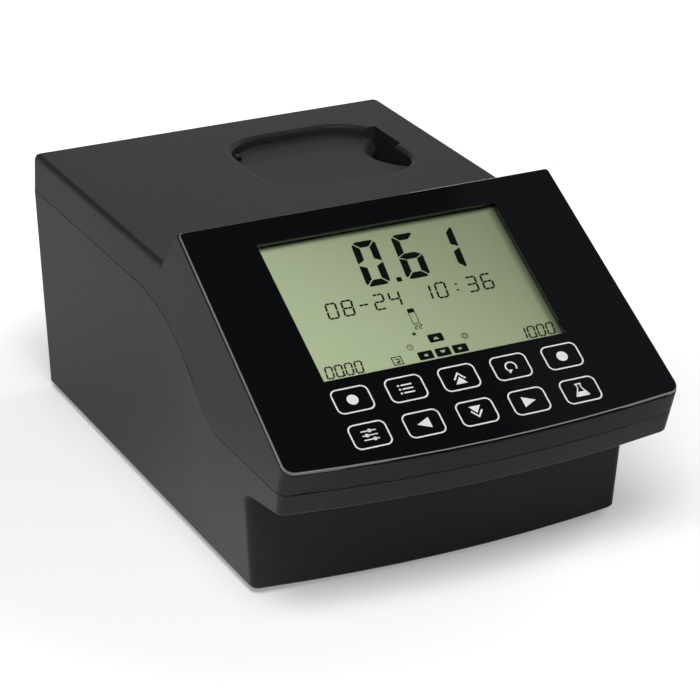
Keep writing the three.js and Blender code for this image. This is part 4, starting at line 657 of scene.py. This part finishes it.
def smoothed(node, sharp):
    """A copy of a CAD piece that shades round where it is round.

    The loose triangles are joined at their corners. A corner's normal is the sum of the normals of the faces
    that meet there and lean less than sharp degrees from its own face, each times the area of the whole flat
    it belongs to and the angle it has at the corner, so that a large flat stays flat up to its edge.
    """
    mesh = nodes[node].data
    places = np.empty(len(mesh.vertices) * 3)
    mesh.vertices.foreach_get("co", places)
    picks = np.empty(len(mesh.loops), int)
    mesh.loops.foreach_get("vertex_index", picks)
    corners = places.reshape(-1, 3)[picks].reshape(-1, 3, 3)
    cross = np.cross(corners[:, 1] - corners[:, 0], corners[:, 2] - corners[:, 0])
    twice = np.linalg.norm(cross, axis=1)
    good = twice > 1e-14
    corners, cross, twice = corners[good], cross[good], twice[good]
    normal = cross / twice[:, None]
    reach = (normal * corners[:, 0]).sum(1)
    flats = np.round(np.column_stack([normal * 400, reach * 20000])).astype(int)
    _, flat = np.unique(flats, axis=0, return_inverse=True)
    flat = flat.ravel()
    area = np.bincount(flat, twice)[flat]
    points, where = np.unique(np.round(corners.reshape(-1, 3) * 1e7).astype(int), axis=0, return_inverse=True)
    where = where.ravel()
    ahead = np.roll(corners, -1, 1) - corners
    behind = np.roll(corners, 1, 1) - corners
    lengths = np.linalg.norm(ahead, axis=2) * np.linalg.norm(behind, axis=2)
    angle = np.arccos(np.clip((ahead * behind).sum(2) / lengths, -1, 1)).ravel()
    face = np.repeat(np.arange(len(corners)), 3)
    weight = area[face] * angle
    order = np.argsort(where, kind="stable")
    count = np.bincount(where)
    first = np.cumsum(count) - count
    total = np.zeros((len(face), 3))
    for k in range(count.max()):
        mine = np.flatnonzero(count[where] > k)
        other = order[first[where[mine]] + k]
        lean = (normal[face[mine]] * normal[face[other]]).sum(1)
        share = np.where(lean > math.cos(math.radians(sharp)), weight[other], 0.0)
        total[mine] += normal[face[other]] * share[:, None]
    total /= np.linalg.norm(total, axis=1, keepdims=True)
    skin = bpy.data.meshes.new(node + "_skin")
    skin.from_pydata((points * 1e-7).tolist(), [], where.reshape(-1, 3).tolist())
    skin.polygons.foreach_set("use_smooth", np.ones(len(skin.polygons), bool))
    skin.normals_split_custom_set(total.tolist())
    piece = bpy.data.objects.new(node + "_skin", skin)
    bpy.context.scene.collection.objects.link(piece)
    return piece


def dress():
    """Gives each CAD node the finish of its material slot, or its own one, and round pieces a smooth copy."""
    body_of = {
        name: body for body, names in frame["record"]["behaviour"]["bodies"].items() for name in names
    }
    for part in frame["record"]["subparts"]:
        node = part["node"]
        finish = OWN_FINISH.get(node) or FINISHES[part["material_slot"]]
        slots = nodes[node].data.materials
        slots.clear()
        slots.append(finish)
        if node in ROUND:
            piece = smoothed(node, CRISP.get(node, SMOOTH_LIMIT))
            piece.data.materials.append(finish)
            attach(piece, body_of[node])
            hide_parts(node)


dress()

# ---------------------------------------------------------------- printed marks and display segments


def on_panel(x, along, out):
    """Point at x across the panel, along its slope from the lower edge line, and out from its face, in metres."""
    x, along, out = np.broadcast_arrays(*(np.asarray(v, float) for v in (x, along, out)))
    y = PANEL_Y + along * math.cos(TILT) - out * math.sin(TILT)
    z = PANEL_Z + along * math.sin(TILT) + out * math.cos(TILT)
    return np.stack([x, y, z], -1) * MM


def solid(name, shells, finish, body="casing"):
    """One mesh of closed shells, each a pair of points and faces, that rides on a body."""
    points, faces, start = [], [], 0
    for shell_points, shell_faces in shells:
        points.append(shell_points)
        faces += [[start + k for k in face] for face in shell_faces]
        start += len(shell_points)
    mesh = bpy.data.meshes.new(name)
    mesh.from_pydata(np.concatenate(points).tolist(), [], faces)
    mesh.validate()
    mesh.materials.append(finish)
    made = bpy.data.objects.new(name, mesh)
    bpy.context.scene.collection.objects.link(made)
    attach(made, body)
    return made


def prism(outline, low, high, place=on_panel):
    """An anticlockwise outline on the panel or another face, raised from low to high: side walls and two flat ends."""
    flat = np.asarray(outline, float)
    count = len(flat)
    rings = np.concatenate([place(flat[:, 0], flat[:, 1], level) for level in (low, high)])
    here = np.arange(count)
    after = np.roll(here, -1)
    walls = np.stack([here, after, after + count, here + count], 1).tolist()
    return rings, walls + [here[::-1].tolist(), (here + count).tolist()]


def band(path, width, low, high, place=on_panel):
    """A closed line on the panel, width wide: each corner is mitred, and the cross-section is a rectangle."""
    path = np.asarray(path, float)
    step = np.roll(path, -1, 0) - path
    step /= np.linalg.norm(step, axis=1, keepdims=True)
    side = np.stack([-step[:, 1], step[:, 0]], 1)
    mean = side + np.roll(side, 1, 0)
    mean /= (mean * side).sum(1, keepdims=True)
    inner, outer = path + mean * width / 2, path - mean * width / 2
    count = len(path)
    corners = [(outer, low), (outer, high), (inner, high), (inner, low)]
    rings = np.concatenate([place(p[:, 0], p[:, 1], level) for p, level in corners])
    here = np.arange(count)
    after = np.roll(here, -1)
    faces = []
    for k in range(4):
        a, b = k * count, (k + 1) % 4 * count
        faces += np.stack([here + a, after + a, after + b, here + b], 1).tolist()
    return rings, faces


def stroke(start, end, width, low, high, place=on_panel):
    """A straight line with square ends."""
    start, end = np.asarray(start, float), np.asarray(end, float)
    along = (end - start) / np.linalg.norm(end - start)
    side = np.array([-along[1], along[0]]) * width / 2
    return prism([start - side, end - side, end + side, start + side], low, high, place)


def rounded(centre, size, radius, steps=8):
    """Outline of a rectangle with round corners: a quarter circle about each corner's centre."""
    angle = np.linspace(0, math.pi / 2, steps)
    reach = np.array(size) / 2 - radius
    turns = np.arange(4)[:, None] * math.pi / 2 + angle[None, :]
    signs = np.array([(1, 1), (-1, 1), (-1, -1), (1, -1)])
    points = signs[:, None, :] * reach + radius * np.stack([np.cos(turns), np.sin(turns)], -1)
    return points.reshape(-1, 2) + np.array(centre)


def circle(centre, radius, steps=32):
    """Outline of a circle."""
    angle = np.arange(steps) * 2 * math.pi / steps
    return np.stack([np.cos(angle), np.sin(angle)], 1) * radius + np.array(centre)


def moved(outline, centre):
    """An outline shifted to a centre."""
    return np.asarray(outline, float) + np.array(centre)


KEY = {"width": 19.1, "height": 14.2, "corner": 3.5, "line": 0.75}
KEY_COLUMNS = (-55.7, -28.4, -1.0, 26.2, 53.5)
KEY_ROWS = (33.2, 12.7)
INK_LOW, INK_HIGH = -0.02, 0.03


def printed(outline):
    """A filled shape printed on the panel."""
    return prism(outline, INK_LOW, INK_HIGH)


def lines(points, width=0.7, closed=False):
    """Printed straight lines from point to point."""
    ends = list(zip(points, points[1:])) + ([(points[-1], points[0])] if closed else [])
    return [stroke(a, b, width, INK_LOW, INK_HIGH) for a, b in ends]


def keys():
    """Ten key outlines and the sign in each."""
    shells = []
    for row in KEY_ROWS:
        for x in KEY_COLUMNS:
            size = (KEY["width"] - KEY["line"], KEY["height"] - KEY["line"])
            path = rounded((x, row), size, KEY["corner"] - KEY["line"] / 2)
            shells.append(band(path, KEY["line"], INK_LOW, INK_HIGH))
    left, second, middle, fourth, right = KEY_COLUMNS
    upper, lower = KEY_ROWS
    shells += [printed(circle((x, upper), 2.8)) for x in (left, right)]
    triangle = np.array([(-3.0, -3.6), (3.0, -3.6), (0, 0.4)])
    chevron = np.array([(-3.2, -0.7), (-2.5, -1.2), (0, 1.9), (2.5, -1.2), (3.2, -0.7), (0, 3.2)])
    for row, sense in ((upper, 1), (lower, -1)):
        for outline in (triangle, chevron):
            shells.append(printed(moved(outline * (sense, sense), (middle, row))))
    arrow = np.array([(-3.4, 0), (3.2, -3.0), (3.2, 3.0)])
    shells.append(printed(moved(arrow, (second, lower))))
    shells.append(printed(moved(arrow * (-1, -1), (fourth, lower))))
    shells += list_sign((second, upper))
    shells += return_sign((fourth, upper))
    shells += slider_sign((left, lower))
    shells += flask_sign((right, lower))
    solid("key_print", shells, FINISHES["white_ink"])


def list_sign(centre):
    """Three dots, each with a line beside it."""
    x, v = centre
    shells = []
    for k in (-1, 0, 1):
        shells.append(printed(circle((x - 3.2, v + 2.2 * k), 0.55, 12)))
        shells += lines([(x - 1.9, v + 2.2 * k), (x + 3.6, v + 2.2 * k)], 0.75)
    return shells


def return_sign(centre):
    """Three quarters of a ring that ends in an arrow head."""
    x, v = centre
    angle = np.linspace(-0.6, 4.1, 22)
    ring = np.stack([np.cos(angle), np.sin(angle)], 1)
    outline = np.concatenate([ring * 3.1, ring[::-1] * 2.35])
    tip = np.array([(2.7 * math.cos(4.1), 2.7 * math.sin(4.1))])
    head = np.array([(-1.3, 0.9), (-0.4, -1.5), (1.6, 0.4)])[::-1] * (1, 1) + tip + (0.2, 0.1)
    return [printed(moved(outline, centre)), printed(moved(head[::-1], (x, v)))]


def slider_sign(centre):
    """Three level lines, each with a round knob."""
    x, v = centre
    shells = []
    for k, knob in ((-1, 1.6), (0, -1.5), (1, 0.6)):
        shells += lines([(x - 3.8, v + 2.4 * k), (x + 3.8, v + 2.4 * k)], 0.6)
        shells.append(printed(circle((x + knob, v + 2.4 * k), 1.0, 16)))
    return shells


def flask_sign(centre):
    """Outline of a conical flask with its liquid filled in."""
    glass = [(-1.0, 3.6), (-1.0, 1.2), (-3.4, -3.2), (3.4, -3.2), (1.0, 1.2), (1.0, 3.6)]
    shells = lines([tuple(moved(p, centre)) for p in glass], 0.6)
    shells += lines([tuple(moved(p, centre)) for p in ((-1.7, 3.6), (1.7, 3.6))], 0.7)
    shells.append(printed(moved([(-2.7, -2.9), (2.7, -2.9), (1.7, -0.8), (-1.7, -0.8)], centre)))
    return shells


PORTS = {"face": 155.9, "inlet": -50.0, "z": 34.0}
ROCKER = {"x": 46.0, "y": 153.6, "centre": 3.2, "throw": math.radians(12), "half": 3.9}


def on_rear(x, up, out):
    """Point on the rear plate: x to the right as seen from behind, from the power inlet's middle."""
    x, up, out = np.broadcast_arrays(*(np.asarray(v, float) for v in (x, up, out)))
    return np.stack([PORTS["inlet"] - x, PORTS["face"] + out, PORTS["z"] + up], -1) * MM


def on_rocker(side):
    """Places on one half of the rocker's shallow V, which is turned by its throw about the pivot.

    The V's fold is centre from the pivot. A half's direction leans throw from the level before that turn, so
    that after it one half (side 1) is level and the other (side -1) leans twice the throw.
    """
    throw, centre = ROCKER["throw"], ROCKER["centre"]
    fold = np.array([centre * math.sin(throw), centre * math.cos(throw)])
    lean = 0.0 if side > 0 else 2 * throw
    along = np.array([side * math.cos(lean), math.sin(lean)])
    outward = np.array([math.sin(lean), math.cos(lean)])

    def place(x, up, out):
        x, up, out = np.broadcast_arrays(*(np.asarray(v, float) for v in (x, up, out)))
        flat = fold + along * (ROCKER["half"] - side * x)[..., None] + outward * out[..., None]
        return np.stack([ROCKER["x"] + flat[..., 0], ROCKER["y"] + flat[..., 1], PORTS["z"] + up], -1) * MM

    return place


def rear_signs():
    """The polarity sign over the power inlet, and a line and a ring on the rocker's two halves."""
    up = 9.6
    rings = [band(circle((x, up), 1.35, 24), 0.3, INK_LOW, INK_HIGH, on_rear) for x in (-5.0, 5.0)]
    dot = prism(circle((0.0, up), 0.75, 20), INK_LOW, INK_HIGH, on_rear)
    dashes = [
        stroke((x - reach, up), (x + reach, up), 0.3, INK_LOW, INK_HIGH, on_rear)
        for x, reach in ((-5.0, 0.7), (5.0, 0.7), (-2.2, 1.3), (2.6, 0.9))
    ]
    dashes.append(stroke((5.0, up - 0.7), (5.0, up + 0.7), 0.3, INK_LOW, INK_HIGH, on_rear))
    angle = np.linspace(-2.3, 2.3, 17)
    bow = np.stack([np.cos(angle), np.sin(angle)], 1)
    outline = np.concatenate([bow * 1.75, bow[::-1] * 1.45]) + (0.0, up)
    dashes.append(prism(outline, INK_LOW, INK_HIGH, on_rear))
    solid("rear_print", rings + [dot] + dashes, FINISHES["white_ink"])
    line = stroke((0.0, -1.7), (0.0, 1.7), 0.55, INK_LOW, INK_HIGH, on_rocker(-1))
    ring = band(circle((0.0, 0.0), 1.5, 28), 0.5, INK_LOW, INK_HIGH, on_rocker(1))
    solid("rocker_print", [line, ring], FINISHES["white_ink"], "power_rocker")


rear_signs()


DIGIT = {"width": 12.6, "height": 27.2, "thick": 3.7, "gap": 0.45, "corner": 1.6, "slant": 0.09}
CELL = {"width": 5.0, "height": 8.6, "thick": 1.0, "gap": 0.3, "pitch": 8.2, "slant": 0.12}
SMALL_CELL = {"width": 3.4, "height": 6.4, "thick": 0.85, "gap": 0.25, "pitch": 5.0, "slant": 0.12}
TINY_CELL = {"width": 1.4, "height": 2.5, "thick": 0.5, "gap": 0.1, "pitch": 2.2, "slant": 0.12}
SEGMENTS = {
    "0": "abcdef",
    "1": "bc",
    "2": "abged",
    "3": "abgcd",
    "4": "fgbc",
    "6": "afedcg",
    "8": "abcdefg",
    "-": "g",
}
SEGMENT_LOW, SEGMENT_HIGH = -DISPLAY_DEPTH - 0.02, -DISPLAY_DEPTH + 0.03


def shown(outline):
    """A filled shape in the display."""
    return prism(outline, SEGMENT_LOW, SEGMENT_HIGH)


def bar_digit(sign, corner):
    """A large seven-segment digit: mitred bars with cut outer corners, leaning right."""
    w, h, t, g, c = (DIGIT[k] for k in ("width", "height", "thick", "gap", "corner"))
    top = [(c + g, h), (c / 2 + g, h - c / 2), (t + g, h - t)]
    top += [(w - t - g, h - t), (w - c / 2 - g, h - c / 2), (w - c - g, h)]
    side = [(0, h / 2 + g), (t, h / 2 + t / 2 + g), (t, h - t - g), (c / 2, h - c / 2 - g), (0, h - c - g)]
    middle = [(g, h / 2), (t, h / 2 - t / 2), (w - t, h / 2 - t / 2)]
    middle += [(w - g, h / 2), (w - t, h / 2 + t / 2), (t, h / 2 + t / 2)]
    top, side, middle = (np.array(v) for v in (top, side, middle))
    across = lambda v: (v * (-1, 1) + (w, 0))[::-1]
    down = lambda v: (v * (1, -1) + (0, h))[::-1]
    bars = {
        "a": top,
        "f": side,
        "b": across(side),
        "g": middle,
        "e": down(side),
        "c": across(down(side)),
        "d": down(top),
    }
    lean = lambda v: np.stack([v[:, 0] + DIGIT["slant"] * v[:, 1], v[:, 1]], 1) + np.array(corner)
    return [shown(lean(bars[k])) for k in SEGMENTS[sign]]


def line_digit(sign, corner, cell):
    """A small digit of thin straight segments with a gap at each joint."""
    w, h, g = cell["width"], cell["height"], cell["gap"]
    runs = {
        "a": [((g, h), (w / 2 - g / 2, h)), ((w / 2 + g / 2, h), (w - g, h))],
        "g": [((g, h / 2), (w / 2 - g / 2, h / 2)), ((w / 2 + g / 2, h / 2), (w - g, h / 2))],
        "d": [((g, 0), (w / 2 - g / 2, 0)), ((w / 2 + g / 2, 0), (w - g, 0))],
        "f": [((0, h / 2 + g), (0, h - g))],
        "b": [((w, h / 2 + g), (w, h - g))],
        "e": [((0, g), (0, h / 2 - g))],
        "c": [((w, g), (w, h / 2 - g))],
    }
    lean = lambda p: (p[0] + cell["slant"] * p[1] + corner[0], p[1] + corner[1])
    if sign == ":":
        spots = [(w / 2, h * 0.3), (w / 2, h * 0.7)]
        return [shown(rounded(lean(spot), (1.1, 1.1), 0.2, 3)) for spot in spots]
    if sign == ".":
        return [shown(rounded(lean((w / 2, 0.2)), (0.9, 0.9), 0.2, 3))]
    return [
        stroke(lean(a), lean(b), cell["thick"], SEGMENT_LOW, SEGMENT_HIGH)
        for k in SEGMENTS[sign]
        for a, b in runs[k]
    ]


def row_of(signs, corner, cell):
    """Signs in equal cells from left to right; a dot takes the gap before the next one."""
    shells, x = [], corner[0]
    for sign in signs:
        if sign == ".":
            shells += line_digit(sign, (x - cell["pitch"] * 0.62, corner[1]), cell)
            continue
        if sign != " ":
            shells += line_digit(sign, (x, corner[1]), cell)
        x += cell["pitch"]
    return shells


def display():
    """Everything that the display shows: the large reading, a row of small digits, a vial and four arrow boxes."""
    shells = []
    for sign, x in (("0", -20.1), ("6", 1.0), ("1", 20.9)):
        shells += bar_digit(sign, (x, 95.8))
    shells.append(shown(rounded((-2.9, 97.0), (2.7, 2.7), 0.3, 3)))
    shells += row_of("08-24 10:36", (-45.6, 82.0), CELL)
    shells += row_of("00.00", (-60.3, 49.4), SMALL_CELL)
    shells += row_of("10.00", (40.6, 49.4), SMALL_CELL)
    shells += vial_sign((-5.6, 74.8))
    shells += row_of("22", (-7.4, 67.0), TINY_CELL)
    for centre, turn in (((0.0, 60.2), 0), ((-9.0, 51.6), 1), ((0.0, 51.6), 2), ((9.1, 51.6), 3)):
        shells += arrow_box(centre, turn)
    shells += star_sign((-9.4, 64.6)) + clock_sign((-14.6, 57.6)) + ring_sign((14.4, 58.0))
    shells += page_sign((-23.8, 51.7))
    solid("display_segments", shells, FINISHES["segment_black"])


def open_outline(outline, width):
    """A closed thin line on the display."""
    return band(outline, width, SEGMENT_LOW, SEGMENT_HIGH)


def vial_sign(centre):
    """A capped vial."""
    glass = moved([(-1.6, -4.4), (1.6, -4.4), (1.9, 2.2), (-1.3, 2.2)], centre)
    cap = moved([(-1.5, 2.4), (2.1, 2.4), (2.2, 4.4), (-1.3, 4.4)], centre)
    return [open_outline(glass, 0.35), shown(cap)]


def arrow_box(centre, turn):
    """A filled box round an arrow that is left clear: four bars of the box close in on the arrow's outline."""
    angle = turn * math.pi / 2
    spin = np.array([(math.cos(angle), math.sin(angle)), (-math.sin(angle), math.cos(angle))])
    arrow = np.array([(-1.5, -1.0), (1.5, -1.0), (0, 1.3)]) @ spin
    outer = rounded((0, 0), (7.6, 4.8), 0.7, 5)
    bearing = np.arctan2(outer[:, 1], outer[:, 0])
    inner = star_points(arrow, bearing)
    count = len(outer)
    here = np.arange(count)
    after = np.roll(here, -1)
    rings = np.concatenate(
        [
            on_panel(ring[:, 0] + centre[0], ring[:, 1] + centre[1], level)
            for ring, level in (
                (outer, SEGMENT_LOW),
                (outer, SEGMENT_HIGH),
                (inner, SEGMENT_HIGH),
                (inner, SEGMENT_LOW),
            )
        ]
    )
    faces = []
    for k in range(4):
        a, b = k * count, (k + 1) % 4 * count
        faces += np.stack([here + a, after + a, after + b, here + b], 1).tolist()
    return [(rings, faces)]


def star_points(corners, bearing):
    """Where rays from the middle at these bearings leave a polygon round it."""
    start, end = corners, np.roll(corners, -1, 0)
    ray = np.stack([np.cos(bearing), np.sin(bearing)], 1)
    edge = end - start
    cross = lambda a, b: a[..., 0] * b[..., 1] - a[..., 1] * b[..., 0]
    bottom = cross(ray[:, None], edge[None])
    reach = cross(start[None], edge[None]) / np.where(abs(bottom) < 1e-9, 1e-9, bottom)
    share = cross(start[None], ray[:, None]) / np.where(abs(bottom) < 1e-9, 1e-9, bottom)
    good = (reach > 0) & (share > -1e-6) & (share < 1 + 1e-6)
    return ray * np.where(good, reach, np.inf).min(1)[:, None]


def star_sign(centre):
    """A five-pointed star."""
    angle = np.arange(10) * math.pi / 5 + math.pi / 2
    radius = np.where(np.arange(10) % 2, 0.62, 1.5)
    return [shown(moved(np.stack([np.cos(angle), np.sin(angle)], 1) * radius[:, None], centre))]


def clock_sign(centre):
    """A round face with two hands."""
    hands = [((0, 0), (0, 1.0)), ((0, 0), (0.8, 0))]
    strokes = [
        stroke(moved(a, centre), moved(b, centre), 0.35, SEGMENT_LOW, SEGMENT_HIGH) for a, b in hands
    ]
    return [open_outline(circle(centre, 1.5, 24), 0.35)] + strokes


def ring_sign(centre):
    """A hexagon with a ring in it."""
    return [open_outline(circle(centre, 1.7, 6), 0.35), open_outline(circle(centre, 0.85, 20), 0.3)]


def page_sign(centre):
    """A page with a bent arrow into it."""
    frame_line = moved([(-2.3, -2.2), (2.3, -2.2), (2.3, 2.2), (-2.3, 2.2)], centre)
    head = moved([(-1.2, -0.9), (0.6, -1.7), (0.6, -0.1)], centre)
    bend = [((0.5, -0.9), (1.3, -0.9)), ((1.1, -0.9), (1.1, 1.0)), ((1.3, 0.9), (-1.0, 0.9))]
    return [open_outline(frame_line, 0.5), shown(head)] + [
        stroke(moved(a, centre), moved(b, centre), 0.5, SEGMENT_LOW, SEGMENT_HIGH) for a, b in bend
    ]


keys()
display()

# ---------------------------------------------------------------- studio

# The floor's own light for rays that see the background: near the object, what is added further out, and what
# is added at the edges, with the distances in metres over which each comes in. PAINTED_LIGHT_POOL is a painted pool of
# light on the floor: a patch where mirrored rays see it nearer to full white. The world is white, except that mirrored
# rays see CEILING above HORIZON.
CAMERA_RAY, MIRRORED_RAY, THROUGH_RAY = 0, 3, 6
FLOOR_SIZE = 6.0
FLOOR_LIFT = 0.32
FAR_LIFT, FAR_FROM, FAR_TO = 0.3, 0.2, 0.33
EDGE_LIFT, EDGE_FROM, EDGE_TO = 0.38, 0.6, 1.6
PAINTED_LIGHT_POOL = {"at": (-0.24, -0.12), "reach": 0.27, "gain": 1.3}
CEILING = 0.02
HORIZON = 0.16
AIM = (0, 0, 60)
# Name, place and size in mm, watts, colour
LAMPS = [
    ("left", (-816, -381, 1502), 900, 1.6, (1.0, 1.0, 1.0)),
    ("front", (-395, -810, 1502), 900, 22.5, (1.0, 1.0, 1.0)),
    ("right", (1450, 388, 858), 900, 7.0, (1.0, 1.0, 1.0)),
    ("rear", (260, 690, 430), 440, 0.42, (1.0, 1.0, 0.92)),
    ("above", (1158, 46, 1392), 900, 0.14, (0.9, 0.95, 1.0)),
]


def studio():
    """Pale floor that shows white and keeps the object's shadow, with a painted pool of light that only its
    reflections show, a white horizon, and soft lamps.
    """
    size = FLOOR_SIZE
    mesh = bpy.data.meshes.new("floor")
    mesh.from_pydata(
        [(-size, -size, 0), (size, -size, 0), (size, size, 0), (-size, size, 0)], [], [(0, 1, 2, 3)]
    )
    floor = bpy.data.objects.new("floor", mesh)
    bpy.context.scene.collection.objects.link(floor)
    f = Finish("floor_paper")
    x, y, _ = f.axes()
    away = ((x - PAINTED_LIGHT_POOL["at"][0]) ** 2 + (y - PAINTED_LIGHT_POOL["at"][1]) ** 2) ** 0.5
    # Painted light: a pool on the floor that only mirrored rays see, brighter towards its middle.
    painted_light_pool = (1 - away / PAINTED_LIGHT_POOL["reach"]).rise(0, 1) * PAINTED_LIGHT_POOL["gain"]
    out = (x * x + y * y) ** 0.5
    lift = FLOOR_LIFT + out.rise(FAR_FROM, FAR_TO) * FAR_LIFT + out.rise(EDGE_FROM, EDGE_TO) * EDGE_LIFT
    camera, mirrored, through = background_rays(f)
    seen = camera.most(mirrored).most(through) * lift + mirrored * painted_light_pool.least(1 - lift)
    fibre = f.mix(f.noise(3.0), (0.84, 0.84, 0.84, 1), (0.86, 0.86, 0.86, 1))
    paper = f.add("BsdfDiffuse", None, {"Color": fibre})
    own_light = f.add("Emission", None, {"Color": (1, 1, 1, 1), "Strength": seen})
    f.end(f.add("AddShader", None, {0: paper, 1: own_light}))
    mesh.materials.append(f.material)

    world = bpy.data.worlds.new("studio")
    bpy.context.scene.world = world
    w = Finish("studio", world)
    height = w.axes(w.add("TexCoord", out=0))[2]
    camera, mirrored, through = background_rays(w)
    white = camera.most(through).most(mirrored * (1 - height.rise(HORIZON, HORIZON + 0.08)))
    ceiling = (CEILING, CEILING, CEILING, 1)
    glow = w.add("Background", None, {"Color": w.mix(white, ceiling, (1, 1, 1, 1)), "Strength": 1.0})
    w.add("OutputWorld", None, {"Surface": glow})
    for settings in LAMPS:
        lamp(*settings)


def background_rays(finish):
    """1 for the camera's own rays, for mirrored ones and for those through glass, as three Values."""
    return [finish.add("LightPath", out=k) for k in (CAMERA_RAY, MIRRORED_RAY, THROUGH_RAY)]


def lamp(name, place, size, watts, colour):
    """A square soft box that looks at the object's middle."""
    data = bpy.data.lights.new(name, "AREA")
    data.shape = "SQUARE"
    data.size = size * MM
    data.energy = watts
    data.color = colour
    box = bpy.data.objects.new(name, data)
    bpy.context.scene.collection.objects.link(box)
    at = Vector(place) * MM
    aim = Vector(AIM) * MM - at
    box.matrix_world = Matrix.Translation(at) @ aim.to_track_quat("-Z", "Y").to_matrix().to_4x4()


studio()

bpy.context.scene.view_settings.view_transform = "Standard"
